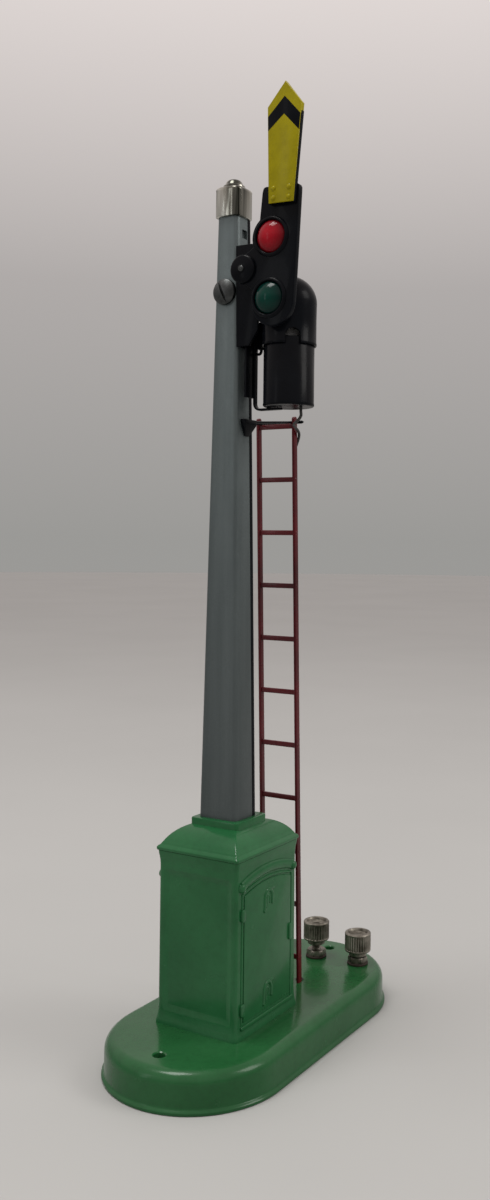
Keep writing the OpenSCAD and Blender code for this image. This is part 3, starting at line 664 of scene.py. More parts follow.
def light_scene():
    area_light("window", (1.1, 0.35, 0.95), (0, 0, 0.16), (0.55, 0.55), 5.0, (1.0, 0.98, 0.95))
    area_light("ceiling", (-0.25, -0.35, 1.5), (0, 0, 0.15), (0.5, 0.5), 9.0, (1.0, 0.99, 0.97))
    area_light("front", (-0.7, -1.3, 0.55), (0, 0, 0.2), (0.2, 0.8), 0.7, (0.95, 0.98, 1.0))
    bpy.context.scene.view_settings.view_transform = "Standard"


# ---------------------------------------------------------------- the stand

LIP, SHOULDER = 1.0, 4.6   # how far the base's foot stands out, and the radius round its flat top


def make_base():
    """The pressed base: a flared foot, an upright wall and a rounded shoulder round a flat top."""
    outer, top = BASE_HI.x, BASE_TOP
    half, wall = BASE_HI.y - outer, outer - LIP
    profile = [(wall - 2.2, 0.0), (outer - 0.35, 0.0), (outer, 0.35), (outer, 1.15), (outer - 0.25, 1.5),
               (wall + 0.35, 1.75), (wall + 0.08, 2.1), (wall, 2.7)]
    profile += arc((wall - SHOULDER, top - SHOULDER), SHOULDER, 0, 90, 10) + [(wall - SHOULDER - 6, top)]
    bm = bmesh.new()
    loft(bm, [at_height(stadium(r, half), z) for r, z in profile])
    base = finish_mesh("base_pressing", bm, "base_enamel")
    holes = frame["record"]["mounts"][0]["dims"]
    r, y = holes["hole_r_mm"], holes["spacing_y_mm"] / 2
    hole = [(0, -2), (r, -2), (r, top - 0.35), (r + 0.5, top + 0.02), (r + 0.5, top + 1), (0, top + 1)]
    carve(base, *(turned(hole, upright(0, s * y), 48) for s in (-1, 1)))
    stand_for(base, "stand", "base")


WALL_INSET = 1.0
CORNER = 1.4
PANEL_HALF, PANEL_FOOT, PANEL_TOP, PANEL_CORNER = 15.9, 19.5, 73.6, 1.6


def make_house():
    """The relay house: soft-edged cast walls with a sunk front and back and an arched door on each side."""
    half_x, half_y = EAVE.x - WALL_INSET, EAVE.y - WALL_INSET
    z0, z1 = BASE_TOP, EAVE_Z
    foot = [(0.9, z0), (0.85, z0 + 0.8), (0.55, z0 + 1.8), (0.28, z0 + 3.2), (0.1, z0 + 4.8), (0.0, z0 + 7)]
    under = [(0.0, z1 - 5.5), (0.1, z1 - 3.8), (0.35, z1 - 2.2), (0.6, z1 - 1.0), (0.65, z1)]
    bm = bmesh.new()
    stack(bm, [(half_x + g, half_y + g, CORNER + g * 0.5, z) for g, z in foot + under], HOUSE_Y, 8)
    house = finish_mesh("house_walls", bm, "house_enamel")
    inner, crown = PANEL_HALF - PANEL_CORNER, PANEL_TOP - PANEL_CORNER
    panel = [(-PANEL_HALF, PANEL_FOOT), (PANEL_HALF, PANEL_FOOT)]
    panel += arc((inner, crown), PANEL_CORNER, 0, 90, 4) + arc((-inner, crown), PANEL_CORNER, 90, 180, 4)
    sunk = ((2.5, -0.70), (2.2, -0.69), (0.35, -0.13), (0.1, -0.03), (-0.05, 0.0), (-0.05, 1.0))
    tools = [bmesh.new(), bmesh.new()]
    for s, bm in zip((-1, 1), tools):
        loft(bm, [[Vector((u, HOUSE_Y + s * (half_y + out), v)) for u, v in shrink(panel, g)]
                  for g, out in sunk])
    carve(house, *tools)
    stand_for(house, "stand", "relay_house")
    for s in (-1, 1):
        make_door(s, half_x)


DOOR_W, DOOR_H, DOOR_Z, DOOR_RISE = 34.4, 51.0, 19.6, 2.6


def make_door(sign, half_x):
    """An arched door in relief: its leaf, a heavy hood moulding, two handles, hinges, a latch and a sill."""
    def place(u, v, w):
        return Vector((sign * (half_x + w), HOUSE_Y + sign * u, DOOR_Z + v))

    def lump(u, v, half_u, half_v, rise, soft=0.35):
        slab(bm, rounded_rect(half_u, half_v, min(half_u, half_v) * 0.8, 5), -0.3, rise + 0.3, soft,
             lambda a, c, w: place(u + a, v + c, rise - 0.3 - w))

    bm = bmesh.new()
    half = DOOR_W / 2
    leaf = [(0.9 - half, 0.6), (half - 0.9, 0.6)] + arch_points(DOOR_W - 1.8, DOOR_H - 1.0, DOOR_RISE)[::-1]
    slab(bm, leaf, -0.3, 0.75, 0.25, lambda u, v, w: place(u, v, 0.15 - w))
    surround = [(-half - 0.1, -1)] + arch_points(DOOR_W + 0.2, DOOR_H, DOOR_RISE) + [(half + 0.1, -1)]
    bead(bm, surround, place, 0.6, 0.8)
    moulding = arch_points(DOOR_W + 1.4, DOOR_H + 3.3, DOOR_RISE + 0.3, 28)
    bead(bm, moulding, place, 1.95, 0.55, 12)
    for u, v in (moulding[0], moulding[-1]):
        lathe(bm, [(0, 1.68), (1.0, 1.58), (1.5, 1.2), (1.8, 0.5), (1.85, -0.4)], place, 24, (u, v - 0.4))
    for v in (6.0, 41.6):
        for radius, foot, fat in ((2.6, -3.2, 1.0), (0.9, -1.9, 0.7)):
            handle = [(x, v + 1.2 + 1.25 * y) for x, y in arc((0.2, 0), radius, 0, 180, 12)]
            handle.insert(0, (0.2 + radius, v + foot * 0.3))
            handle += [(0.2 - radius, v + foot * 0.4), (-radius, v + foot)]
            bead(bm, handle, place, fat, 1.0)
            tip = [(0, fat), (0.6 * fat, 0.9 * fat), (0.98 * fat, 0.35 * fat), (fat, -0.3)]
            for end in (handle[0], handle[-1]):
                lathe(bm, tip, place, 24, end)
        lump(2.6, v + 4.4, 1.9, 0.75, 0.7)
    for v in (5.4, 40.6):
        lump(-half, v, 1.25, 2.4, 1.0)
    lump(half - 1.2, 25.2, 1.1, 3.3, 1.0)
    lump(0, -1.2, half + 1.0, 0.75, 0.9, 0.3)
    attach(finish_mesh("door_right" if sign > 0 else "door_left", bm, "house_enamel"), "stand")


PLINTH_X, PLINTH_Y = 11.1, 10.4   # half sizes


def make_roof():
    """The roof: a nosed eave band, a low arched hip over it and the plinth that holds the mast's foot."""
    top = ROOF_HI.z
    crown, spring = top - 2.3, EAVE_Z + 3.0
    edge = [(1.4, -0.1), (0.5, 0.0), (0.12, 0.25), (0.0, 0.7), (0.03, 1.2), (0.4, 1.7), (1.0, 2.1),
            (1.4, 2.5), (1.55, 2.85)]
    levels = [(EAVE.x - g, EAVE.y - g, 1.0 - 0.2 * g, EAVE_Z + z) for g, z in edge]
    inset, flat, start, steps = 1.7, 8.0, math.radians(35), 12
    for k in range(steps):
        a = start + (math.pi / 2 - start) * k / steps
        out = math.cos(a) / math.cos(start)
        z = spring + (crown - spring) * (math.sin(a) - math.sin(start)) / (1 - math.sin(start))
        levels.append((*(flat + (half - inset - flat) * out for half in EAVE.xy), 0.7, z))
    bm = bmesh.new()
    stack(bm, levels, HOUSE_Y, 5)
    plinth = [(0.0, crown - 2), (0.0, top - 0.5), (0.12, top - 0.15), (0.5, top - 0.01), (1.6, top - 0.02)]
    stack(bm, [(PLINTH_X - g, PLINTH_Y - g, CORNER - 0.5 * g, z) for g, z in plinth], HOUSE_Y - 0.5, 5)
    stand_for(finish_mesh("roof_vault", bm, "house_enamel", 30), "stand", "house_roof")


MAST_FOOT, MAST_HEAD = (MAST_HI.x, 6.9), (4.9, 4.75)   # half width and half depth
SEAM = 2.2                                             # depth of the channel at the back
SQUARE_HOLE = (MAST_Y - 1.4, 319.75), (MAST_Y + 2.0, 323.25)
CRANK_WINDOW = (MAST_Y - 3.2, 296.4), (MAST_Y + 1.6, 312.6)


def mast_half(z):
    """Half width and half depth of the mast at a height."""
    t = (z - MAST_LO.z) / (CAP_LO.z - MAST_LO.z)
    return [foot + (head - foot) * t for foot, head in zip(MAST_FOOT, MAST_HEAD)]


def make_mast():
    """The tapered sheet mast with rolled front corners, and the black channel that closes its back."""
    def levels(top, count=24):
        heights = [MAST_LO.z + (top - MAST_LO.z) * k / count for k in range(count + 1)]
        return [(*mast_half(z), z) for z in heights]

    bm = bmesh.new()
    corners = (0.35, 0.35, 1.9, 1.9)
    stack(bm, [(x, y - SEAM / 2, corners, z) for x, y, z in levels(CAP_LO.z + 1)], MAST_Y - SEAM / 2)
    mast = finish_mesh("mast_tube", bm, "mast_aluminium_paint")
    windows = bmesh.new()
    for low, high in (SQUARE_HOLE, CRANK_WINDOW):
        block(windows, (3.4, *low), (12, *high), 0.25)
    carve(mast, windows)
    stand_for(mast, "stand", "mast")
    bm = bmesh.new()
    corners = (0.5, 0.5, 0.1, 0.1)
    loft(bm, [at_height(rounded_rect(x - 0.05, SEAM / 2, corners, 4), z, 0, MAST_Y + y - SEAM / 2 + 0.02)
              for x, y, z in levels(CAP_LO.z - 0.1)])
    stand_for(finish_mesh("mast_channel", bm, "black_enamel"), "stand", "mast_rear_strip")


def make_cap():
    """The plated cap: a tall soft square body with a rounded crown and a low round button on top."""
    half, z0, button = (CAP_HI.x - CAP_LO.x) / 2, CAP_LO.z, CAP_HI.z
    tall = 12.2
    shell = [(0.45, 0, 2.5), (0.1, 0.2, 2.8), (0, 0.7, 3.0), (0, tall - 1.7, 3.1)]
    for a in (math.radians(90 * k / 7) for k in range(1, 8)):
        shell.append((1.6 * (1 - math.cos(a)), tall - 1.7 + 1.7 * math.sin(a), 2.7))
    shell.append((4.0, tall + 0.05, 1.8))
    bm = bmesh.new()
    stack(bm, [(half - g, half - g, r, z0 + z) for g, z, r in shell], MAST_Y, 8)
    knob = [(0, 0.1), (1.5, 0.22), (2.6, 0.7), (3.3, 1.5), (3.6, 2.3), (3.9, 2.75), (4.4, 3.0)]
    lathe(bm, [(r, button - down) for r, down in knob] + [(4.6, z0 + tall - 1.5)], upright(0, MAST_Y))
    stand_for(finish_mesh("cap_shell", bm, "nickel", look="bright_nickel"), "stand", "mast_cap")


# ---------------------------------------------------------------- the signal arm

def make_arm_plate():
    """The spectacle plate: one pressed plate with a lobe for the red lens and an ear for the hub."""
    blade_and_green = hull_of((8.8, 29.1, 1.6), (22.1, 29.1, 1.6), (21.3, -6, 1.6), (13.6, -13.1, 9.25),
                              (8.9, 16, 1.6), (9, -10, 3))
    red = hull_of((*lens_place(1), LENS_HOLE + 1.85))
    hub = hull_of((0, 0, HUB_R - 0.05))
    ear = hull_of((0, 0, 4.6), (9.5, 5, 5.5), (9.5, -5, 5.5))
    bm = bmesh.new()
    place = on_arm(PLATE_FRONT)
    slab(bm, joined_outline((12, 0), [blade_and_green, red, hub, ear]), -PLATE_DEPTH, PLATE_DEPTH, 0.4, place)
    plate = finish_mesh("spectacle_plate", bm, "black_enamel")
    hole = rod(LENS_HOLE - 0.02, -4, 4)
    carve(plate, *(turned(hole, facing(*place(*lens_place(s), -1)), 48) for s in (-1, 1)))
    stand_for(plate, "signal_arm", "arm_plate")


BLADE_FOOT, BLADE_SHOULDER = 23.4, 59.9   # along from the pivot
RIVETS_U, RIVETS_V = (13.6, 20.5), (25.2, 28.9)


def blade_sides(grow, low, high):
    """Outline of the blade from v = low to high, bigger by grow at its sides."""
    def half(v):
        return 5.45 + 2.1 * (v - BLADE_FOOT) / (BLADE_SHOULDER - BLADE_FOOT) + grow
    return [(BLADE_MID - half(low), low), (BLADE_MID + half(low), low),
            (BLADE_MID + half(high), high), (BLADE_MID - half(high), high)]


def make_blade():
    """The yellow blade, its black back and edges, its chevron and the four rivets."""
    place = on_arm(PLATE_FRONT)
    lean = math.radians(LEAN)
    tip = (span("signal_blade")[1].z - PIVOT.z + BLADE_MID * math.sin(lean)) / math.cos(lean)
    sides = blade_sides(0, BLADE_FOOT, BLADE_SHOULDER)
    bm = bmesh.new()
    slab(bm, sides[:3] + [(BLADE_MID, tip - 0.05)] + sides[3:], 0, BLADE_DEPTH, 0.3, place)
    stand_for(finish_mesh("blade", bm, "blade_enamel"), "signal_arm", "signal_blade")
    bm = bmesh.new()
    slab(bm, blade_sides(0.04, 23.36, 57.0), -0.03, BLADE_DEPTH - 0.37, 0.05, place)
    chevron = [(-7.03, 50.9), (0, 56.6), (6.97, 49.9), (7.32, 55.9), (0, 63.2), (-7.33, 56.2)]
    loft(bm, [[place(BLADE_MID + u * (1 + grow / 7), v, BLADE_DEPTH + w) for u, v in chevron]
              for grow, w in ((0.05, -0.42), (0.05, -0.26), (-0.22, 0.03), (-0.25, 0.05))])
    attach(finish_mesh("blade_black_paint", bm, "black_enamel"), "signal_arm")
    bm = bmesh.new()
    for centre in ((u, v) for u in RIVETS_U for v in RIVETS_V):
        lathe(bm, [(0, 0.5), (0.5, 0.44), (0.85, 0.26), (1.02, 0.02), (1.05, -0.2)],
              on_arm(PLATE_FRONT - BLADE_DEPTH), 24, centre)
    stand_for(finish_mesh("rivet_heads", bm, "blade_enamel", 50), "signal_arm", "blade_rivets")


def make_lenses():
    """Two domed glass lenses with a flat flange, in black beaded rings."""
    rise, back = 3.0, LENS_HOLE - 0.5
    sphere = (LENS_EDGE ** 2 + rise ** 2) / (2 * rise)
    profile = [(0, rise)] + [(r, dome(r, sphere, rise)) for r in (LENS_EDGE * k / 14 for k in range(1, 15))]
    profile += [(LENS_EDGE, -0.02), (LENS_HOLE - 0.06, -0.04), (LENS_HOLE - 0.06, -1.36)]
    profile += [(back * t, -1.4 + 0.9 * (1 - t ** 2)) for t in (k / 10 for k in range(10, -1, -1))]
    places = {sign: facing(*on_arm(PLATE_FRONT)(*lens_place(sign), 0)) for sign in (1, -1)}
    for sign, name, slot in ((1, "red_lens", "red_glass"), (-1, "green_lens", "green_glass")):
        glass = turned(profile, places[sign], 72)
        stand_for(finish_mesh("glass_" + name, glass, slot), "signal_arm", name)
    ring = [(0, 0.0), (0, 0.55), (0.18, 0.85), (0.5, 0.98), (0.85, 0.9), (1.15, 0.62), (1.4, 0.3),
            (1.5, 0.14), (1.5, 0.0), (0, 0.0)]
    bm = bmesh.new()
    for sign in (-1, 1):
        lathe(bm, [(LENS_EDGE + 0.02 + out, w) for out, w in ring], places[sign], 72)
    stand_for(finish_mesh("lens_bezels", bm, "black_enamel", 50), "signal_arm", "lens_rings")


def make_pivot():
    """The hub disc with its bright riveted shaft end, the spacer and the shaft behind it."""
    back = span("pivot_shaft")[1].y
    front = on_arm(PLATE_FRONT - HUB_RISE)
    bm = turned([(0, 0.0), (1.35, -0.02), (1.6, -0.2), (2.0, -0.28), (4.6, -0.5), (5.2, -0.72), (5.5, -1.1),
                 (HUB_R - 0.02, -1.6), (HUB_R - 0.02, -2.0)], front, 24)
    lathe(bm, [(3.6, 0), (3.6, 2.1)], facing(PIVOT.x, span("head_bracket")[0].y - 0.2, PIVOT.z), 40)
    length = back - PLATE_FRONT
    lathe(bm, [(1.5, 0), (1.5, length - 0.3), (1.2, length)], facing(PIVOT.x, back, PIVOT.z), 32)
    stand_for(finish_mesh("hub", bm, "black_enamel"), "signal_arm", "pivot_shaft")
    bm = turned([(0, 0.4), (0.5, 0.36), (0.9, 0.2), (1.15, 0.0), (1.15, -0.2)], front, 24)
    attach(finish_mesh("hub_rivet", bm, "zinc_steel", 50, "gun_metal"), "signal_arm")


# ---------------------------------------------------------------- the mast's head

WEB, SHEET = 7.0, 1.2   # x of the head bracket's web, and the thickness of its flanges
SHAFT_BORE = 1.64


def make_head_bracket():
    """The bent sheet bracket beside the mast, with the bearing boss of the arm."""
    low, high = span("head_bracket")

    def flange(y, x):
        bm = bmesh.new()
        outline = [(WEB - 1.2, low.z), (x - 4, low.z), (x, low.z + 6), (x, high.z - 3), (x - 3, high.z),
                   (WEB - 1.2, high.z)]
        slab(bm, outline, 0, SHEET, 0.22, lambda u, v, w: Vector((u, y + w, v)))
        return bm

    front = finish_mesh("head_flange", flange(low.y, high.x), "black_enamel")
    carve(front, turned(rod(SHAFT_BORE, -1, 4), facing(PIVOT.x, low.y + 2, PIVOT.z), 40))
    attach(front, "stand")
    bm = flange(high.y - SHEET, high.x - 3.2)
    z0, z1 = low.z + 0.02, high.z - 0.02
    inner = [mast_half(z)[0] + 0.03 for z in (low.z, high.z)]
    bend = ((0.02, 0.9), (0.3, 0.3), (0.9, 0))
    levels = [(low.y + y, lean) for y, lean in bend] + [(high.y - y, lean) for y, lean in reversed(bend)]
    loft(bm, [[Vector((inner[0], y, z0)), Vector((WEB - lean, y, z0)), Vector((WEB - lean, y, z1)),
               Vector((inner[1], y, z1))] for y, lean in levels])
    boss = [(1.6, 0), (2.7, 0), (3.0, 0.3), (3.0, 2.5), (1.6, 2.5), (1.6, 0)]
    lathe(bm, boss, facing(PIVOT.x, low.y + 2.6, PIVOT.z), 40)
    bracket = finish_mesh("head_channel", bm, "black_enamel")
    window = bmesh.new()
    block(window, (0, *CRANK_WINDOW[0]), (WEB + 1, *CRANK_WINDOW[1]), 0.3)
    carve(bracket, window)
    stand_for(bracket, "stand", "head_bracket")


def make_bracket_screw():
    """A domed cheese-head screw with a cut slot on the front of the mast."""
    centre = middle("bracket_screw")
    head, sphere, slot_turn = 5.1, 9.0, math.radians(-24)
    back = MAST_Y - mast_half(centre.z)[1] - 0.08
    rise = back - span("bracket_screw")[0].y
    edge = dome(head, sphere, rise)
    profile = [(0, rise)] + [(r, dome(r, sphere, rise)) for r in (head * k / 10 for k in range(1, 10))]
    profile += [(head - 0.12, edge + 0.1), (head, edge - 0.15), (head, 0.25), (head - 0.2, 0),
                (1.95, 0), (1.95, -1.5)]
    place = facing(centre.x, back, centre.z)
    screw = finish_mesh("bracket_screw_head", turned(profile, place), "zinc_steel", look="gun_metal")
    slot = bmesh.new()
    block(slot, (-0.55, -6, rise - 1.3), (0.55, 6, rise + 2), 0.06)
    bmesh.ops.rotate(slot, verts=slot.verts, matrix=Matrix.Rotation(-slot_turn, 3, "Z"))
    for vert in slot.verts:
        vert.co = place(*vert.co)
    carve(screw, slot)
    stand_for(screw, "stand", "bracket_screw")


# ---------------------------------------------------------------- the lamp

HOOD_WALL = 0.62
NOTCH_TOP, NOTCH_HALF, NOTCH_ANGLE = 281.6, 3.0, math.radians(40)
LEAD_START = (LAMP.x + 3.4, LAMP.y + 3.7)


def make_lamp():
    """The lamp: a drawn hood with a window and a notch over a can with a rolled foot."""
    low, high = span("lamp_hood")
    r = high.x - LAMP.x
    spring = high.z - r
    profile = [(0, high.z - HOOD_WALL)] + arc((0, spring), r - HOOD_WALL, 88, 0, 14)
    profile += [(r - HOOD_WALL, low.z), (r - 0.1, low.z), (r, low.z + 0.15), (r, low.z + 0.9),
                (r - 0.12, low.z + 1.2), (r - 0.12, spring - 6), (r - 0.04, spring - 2.0)]
    profile += arc((0, spring), r, 0, 88, 18) + [(0, high.z)]
    hood = finish_mesh("lamp_cover", turned(profile, upright(LAMP.x, LAMP.y), 96), "black_enamel")
    window = turned(rod(LENS_HOLE, 0, 20), facing(*on_arm(LAMP.y)(*lens_place(-1), 0)), 48)
    outline = [(-NOTCH_HALF, low.z - 1), (NOTCH_HALF, low.z - 1)]
    outline += arc((0, NOTCH_TOP - NOTCH_HALF), NOTCH_HALF, 0, 180, 16)
    c, s = math.cos(NOTCH_ANGLE), math.sin(NOTCH_ANGLE)
    notch = bmesh.new()
    loft(notch, [[Vector((LAMP.x + c * u + s * w, LAMP.y + s * u - c * w, v)) for u, v in outline]
                 for w in (2, 20)])
    carve(hood, window, notch)
    stand_for(hood, "hood", "lamp_hood")

    low, high = span("lamp_body")
    r = high.x - LAMP.x
    profile = [(0, low.z + 0.25), (r - 2.2, low.z + 0.2), (r - 1.1, low.z), (r - 0.35, low.z + 0.08),
               (r - 0.04, low.z + 0.45), (r, low.z + 0.9), (r - 0.12, low.z + 1.4), (r - 0.1, high.z - 0.3),
               (r - 0.3, high.z), (r - 0.7, high.z), (r - 0.8, high.z - 0.3), (r - 0.8, low.z + 1.0),
               (0, low.z + 0.95)]
    can = finish_mesh("lamp_can", turned(profile, upright(LAMP.x, LAMP.y), 96), "black_enamel")
    carve(can, turned(rod(0.75, low.z - 1, low.z + 3), upright(*LEAD_START), 48))
    stand_for(can, "stand", "lamp_body")


STRAP_X, STRAP_THICK, STRAP_BEND = 8.8, 0.9, 3.0
CAN_SIDE = 13.4   # x where the tabs from the strap meet the lamp's can


def make_strap():
    """The bent strap from the head bracket down beside the mast and under the lamp, its tabs and eyelet."""
    low, high = span("lamp_bracket")
    x, thick, bend, z = STRAP_X, STRAP_THICK, STRAP_BEND, low.z
    y0, y1 = high.y - 2.3, high.y - 0.1
    mid, half, top = (y0 + y1) / 2, (y1 - y0) / 2, high.z - 0.02
    line = [(x + thick / 2, high.z - 0.5), (x + thick / 2, z + bend + 2)]
    line += arc((x + bend, z + bend), bend - thick / 2, 180, 270, 9) + [(high.x - 1.0, z + thick / 2)]
    section = rounded_rect(thick / 2 - 0.01, half, 0.28, 4)
    bm = bmesh.new()
    loft(bm, [[Vector((p.x + side.x * t, mid + w, p.y + side.y * t)) for t, w in section]
              for p, side in with_sides(line)])
    lathe(bm, [(0, -0.42), (half - 0.1, -0.42), (half - 0.02, 0), (half - 0.1, 0.42), (0, 0.42)],
          upright(high.x - half, mid, z + thick / 2), 32)
    block(bm, (7.02, y0, z + 26), (x + 0.3, y1, top))
    block(bm, (x - thick + 0.02, low.y + 0.02, z + 5), (x + 0.2, high.y - 0.02, top))
    block(bm, (x - 0.2, mid - 0.45, z + 24.8), (CAN_SIDE, mid + 0.45, top), 0.3)
    for z_rivet in (z + 28.4, high.z - 2.4):
        lathe(bm, [(0.8, -0.15), (0.6, 0.08), (0, 0.12)], sideways(x + thick, mid, z_rivet), 24)
    lathe(bm, [(0.8, 0.42), (1.5, 0.42), (1.75, 0.2), (1.75, -0.2), (1.5, -0.42), (0.8, -0.42), (0.8, 0.42)],
          facing(x + thick + 1.0, mid, z + 23.6), 28)
    block(bm, (x - 0.2, mid - 0.4, z + 22.2), (x + thick + 0.1, mid + 0.4, z + 25.2))
    block(bm, (x + thick + 1.2, mid - 0.4, z + 23.9), (CAN_SIDE, mid + 0.4, z + 25.4), 0.3)
    stand_for(finish_mesh("lamp_strap", bm, "black_enamel"), "stand", "lamp_bracket")


LEAD_R, LEAD_X, LEAD_Y = 0.6, 7.5, 23.9   # its radius, and where it goes into the base
BUSH_Y = 23.4


def make_lead():
    """The lamp lead, from the can to the base behind the right ladder rail."""
    line = [(*LEAD_START, span("lamp_body")[0].z + 1), (*LEAD_START, 251), (27.4, -13, 249.6),
            (25.6, -11.2, 248.6), (22, -7.4, 247.9), (17, -1.4, 247.6), (13.6, 4.6, 247.5), (11.6, 9.2, 247.1),
            (10.8, 11.8, 246.5), (10.3, 13.7, 245.2), (9.2, 14.9, 243)]
    line += [(LEAD_X, rail_y(z) + 2.3, z) for z in range(238, 27, -7)]
    line += [(LEAD_X, LEAD_Y - 1.0, 21), (LEAD_X, LEAD_Y, BASE_TOP), (LEAD_X, LEAD_Y, BASE_TOP - 3.4)]
    bm = bmesh.new()
    tube(bm, [Vector(p) for p in line], LEAD_R - 0.02, 14)
    stand_for(finish_mesh("lead_cable", bm, "lead_cloth", 60), "stand", "lamp_lead")


def make_grommet():
    profile = [(0.62, 0.3), (0.95, 0.56), (1.35, 0.52), (1.65, 0.25), (1.68, 0.02), (1.1, 0.02), (1.1, -1.5),
               (0.62, -1.5), (0.62, 0.3)]
    bm = turned(profile, upright(LEAD_X, BUSH_Y, BASE_TOP), 32)
    stand_for(finish_mesh("lead_bush", bm, "black_rubber", 50), "stand", "lead_grommet")


# ---------------------------------------------------------------- the ladder

RAIL_HALF, RAIL_MID = (0.6, 1.4), 8.85    # half sizes of a rail in plan, and its middle in x
RUNG_HALF = (0.5, 1.05)
RUNGS, PITCH, TOP_RUNG = 11, 22.35, 248.5


def rail_y(z):
    """Middle of the rails along Y at a height."""
    foot_y, top_y = 20.7, 12.1
    return foot_y + (top_y - foot_y) * (z - BASE_TOP) / (LADDER_HI.z - BASE_TOP)


def make_ladder():
    """The ladder: two flat rails with rounded tops, and flat rungs with tenons riveted through the rails."""
    spring, width, depth = LADDER_HI.z - RAIL_HALF[1], *RAIL_HALF
    heights = [LADDER_LO.z + 0.01] + [BASE_TOP + (spring - BASE_TOP) * k / 12 for k in range(13)]
    plans = [(rounded_rect(width, depth, 0.34, 4), z) for z in heights]
    for a in (math.radians(88 * k / 6) for k in range(1, 7)):
        plans.append((rounded_rect(width, depth * math.cos(a) + 0.05, 0.02 + 0.3 * math.cos(a), 4),
                      spring + 1.38 * math.sin(a)))
    bm = bmesh.new()
    for s in (-1, 1):
        loft(bm, [at_height(plan, z, s * RAIL_MID, rail_y(z)) for plan, z in plans])
    wide, outer = RAIL_MID - width, RAIL_MID + width
    ends = ((-wide - 0.2, 0.25), (-wide + 0.25, 0.1), (-wide + 0.8, 0.0))
    ends += tuple((-x, grow) for x, grow in reversed(ends))
    for z in (TOP_RUNG - PITCH * k for k in range(RUNGS)):
        loft(bm, [[Vector((x, rail_y(z) + u, z + v)) for u, v in
                   rounded_rect(RUNG_HALF[0] + grow, RUNG_HALF[1] + grow * 0.8, 0.3, 4)] for x, grow in ends])
        for s in (-1, 1):
            tenon = [(0.8, -0.1), (0.7, 0.02), (0.35, 0.12), (0, 0.15)]
            lathe(bm, [(r, s * (outer + out)) for r, out in tenon], sideways(0, rail_y(z), z), 16)
    stand_for(finish_mesh("ladder_frame", bm, "ladder_enamel", 45), "stand", "ladder")


STAY_ARM = 7.6                           # x of the stay's two arms
WEDGE_FRONT, WEDGE_BACK = -21.5, -18.5   # y of the wedges' narrow feet


def make_stay():
    """The wire stay from the mast up to the ladder's top, and the wedges that grip it at the mast."""
    low, high = span("ladder_stay")
    clip_low, clip_high = span("ladder_clip")
    y, z, clip_z = high.y - 0.7, high.z - 0.7, clip_high.z - 1.0
    bm = turned([(0, low.x), (0.45, low.x + 0.05), (0.66, low.x + 0.4), (0.68, high.x - 1),
                 (0.5, high.x - 0.5), (0.15, high.x)], sideways(0, y, z), 24)
    for x in (-STAY_ARM, STAY_ARM):
        start, end = Vector((x, low.y + 0.1, clip_z)), Vector((x, y, z))
        tube(bm, [start, Vector((x, (low.y + y) / 2, (clip_z + z) / 2)), end], 0.53, 16)
        lathe(bm, [(0.7, -0.9), (0.95, -0.6), (0.95, 0.6), (0.7, 0.9)], sideways(*end), 20)
    stand_for(finish_mesh("ladder_wire", bm, "black_enamel", 50), "stand", "ladder_stay")
    bm = bmesh.new()
    for s, front in ((1, clip_low.y), (-1, MAST_Y + 1.2)):
        rings = []
        for t in (0.0, 0.12, 0.3, 0.65, 0.97, 1.0):
            z = clip_low.z + (clip_high.z - clip_low.z) * t
            spread = min(1.0, t / 0.77)
            near = mast_half(z)[0] + 0.04
            out = near + 0.5 + (clip_high.x - near - 0.5) * min(1.0, t / 0.62)
            y0 = max(front, WEDGE_FRONT + (clip_low.y - WEDGE_FRONT) * spread)
            y1 = WEDGE_BACK + (clip_high.y - WEDGE_BACK) * spread
            inset = 0.0 if 0 < t < 1 else 0.12
            half_x, half_y = (out - near) / 2 - inset, (y1 - y0) / 2 - inset
            rings.append(at_height(rounded_rect(half_x, half_y, min(0.3, half_x * 0.8), 4), z,
                                   s * (near + out) / 2, (y0 + y1) / 2))
        loft(bm, rings)
    stand_for(finish_mesh("stay_wedges", bm, "black_enamel"), "stand", "ladder_clip")


# ---------------------------------------------------------------- the terminals

SIDES = ("left", "middle", "right")
STUD_R, NUT_BORE = 1.9, 2.02
TEETH, DRUM = 30, 8.3   # of a thumb nut's knurl, and the height of its wide part


def gear_ring(centre, radius, depth, z, steps=6):
    """One ring of a knurl: rounded bumps round a circle."""
    points = []
    for k in range(TEETH * steps):
        a = 2 * math.pi * k / (TEETH * steps)
        r = radius - depth * (0.5 - 0.5 * math.cos(a * TEETH)) ** 1.6
        points.append(Vector((centre.x + r * math.cos(a), centre.y + r * math.sin(a), z)))
    return points


def make_thumb_nuts():
    for side in SIDES:
        make_thumb_nut("thumb_nut_" + side, side)


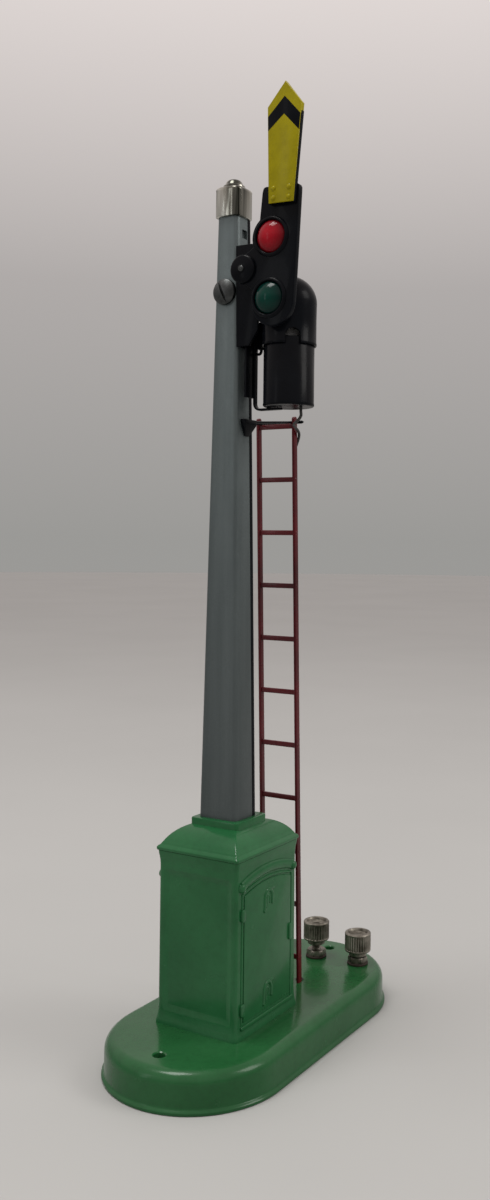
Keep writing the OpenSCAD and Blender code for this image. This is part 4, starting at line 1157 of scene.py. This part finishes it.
def make_thumb_nut(node, side):
    """A knurled thumb nut: plain rims round a coarse knurl, a dished top and a smooth collar below."""
    low, high = span(node)
    r, top, drum = (high.x - low.x) / 2, high.z, high.z - DRUM
    collar = [(low.z, 3.5, 0), (low.z + 0.25, 3.85, 0), (drum - 0.3, 3.85, 0), (drum - 0.05, 4.1, 0)]
    rim = [(0, r - 0.7, 0), (0.25, r - 0.2, 0), (0.55, r - 0.02, 0), (0.95, r - 0.02, 0),
           (1.1, r - 0.05, 0.32), (3, r - 0.03, 0.38)]
    upper = [(3, r - 0.03, 0.38), (1.1, r - 0.05, 0.32), (0.95, r - 0.02, 0), (0.5, r - 0.02, 0),
             (0.2, r - 0.25, 0), (0, r - 0.75, 0), (0.02, 4.5, 0), (0.3, 4.2, 0), (1.1, 3.9, 0), (1.5, 3.2, 0),
             (1.7, NUT_BORE, 0)]
    levels = collar + [(drum + up, radius, depth) for up, radius, depth in rim]
    levels += [(top - down, radius, depth) for down, radius, depth in upper] + [(low.z, NUT_BORE, 0)]
    bm = bmesh.new()
    loft(bm, [gear_ring(middle(node), radius, depth, z) for z, radius, depth in levels], closed=True)
    stand_for(finish_mesh("knurled_nut_" + side, bm, "nickel", 28, "dull_nickel"), "nut_" + side, node)


def hexagon_nut(bm, x, y, z, turn):
    """A hexagon nut with chamfered corners, standing on the height z."""
    radius, height, steps = 4.35, 2.38, 48
    side = math.pi / 3
    rings = []
    for level, chamfer in ((0, 0.42), (0.3, 0.0), (height - 0.35, 0.0), (height, 0.5)):
        ring = []
        for a in (2 * math.pi * k / steps for k in range(steps)):
            flat = radius * math.cos(side / 2) / math.cos(a % side - side / 2)
            reach = min(flat, radius - chamfer)
            ring.append(Vector((x + reach * math.cos(a + turn), y + reach * math.sin(a + turn), z + level)))
        rings.append(ring)
    rings += [at_height(circle(STUD_R + 0.05, steps, turn), z + level, x, y) for level in (height, 0)]
    loft(bm, rings, closed=True)


def make_terminals():
    """Threaded studs, hexagon nuts and fibre washers under the three thumb nuts."""
    centres = [middle("thumb_nut_" + side) for side in SIDES]
    top = span("terminal_studs")[1].z
    thread = [(0, top), (1.2, top)]
    z = top - 0.25
    while z > BASE_TOP - 4:
        thread += [(STUD_R - 0.02, z), (STUD_R - 0.3, z - 0.28)]
        z -= 0.56
    r = 4.6
    washer = [(STUD_R, 0), (r - 0.12, 0), (r, 0.15), (r, 0.8), (r - 0.15, 0.97), (STUD_R, 0.97), (STUD_R, 0)]
    studs, nuts, washers = bmesh.new(), bmesh.new(), bmesh.new()
    for c, turn in zip(centres, (0.2, 0.62, 0.35)):
        lathe(studs, thread, upright(c.x, c.y), 32)
        hexagon_nut(nuts, c.x, c.y, BASE_TOP + 1.0, turn)
        for z in (BASE_TOP + 0.01, BASE_TOP - 2.19):
            lathe(washers, washer, upright(c.x, c.y, z), 48)
    stand_for(finish_mesh("threaded_studs", studs, "nickel", 30, "dull_nickel"), "stand", "terminal_studs")
    stand_for(finish_mesh("hexagon_nuts", nuts, "nickel", 30, "dull_nickel"), "stand", "terminal_nuts")
    stand_for(finish_mesh("fibre_washers", washers, "fibre"), "stand", "terminal_washers")


def dress_cad_nodes():
    """Gives every CAD node its slot's material."""
    slots = {s["node"]: s["material_slot"] for s in frame["record"]["subparts"]}
    for name, node in frame["nodes"].items():
        node.data.materials.clear()
        node.data.materials.append(MATERIALS[slots[name]])


for make in (make_camera, make_floor, make_world, light_scene, dress_cad_nodes, make_base, make_house,
             make_roof, make_mast, make_cap, make_arm_plate, make_blade, make_lenses, make_pivot,
             make_head_bracket, make_bracket_screw, make_lamp, make_strap, make_lead, make_ladder, make_stay,
             make_thumb_nuts, make_terminals, make_grommet):
    make()
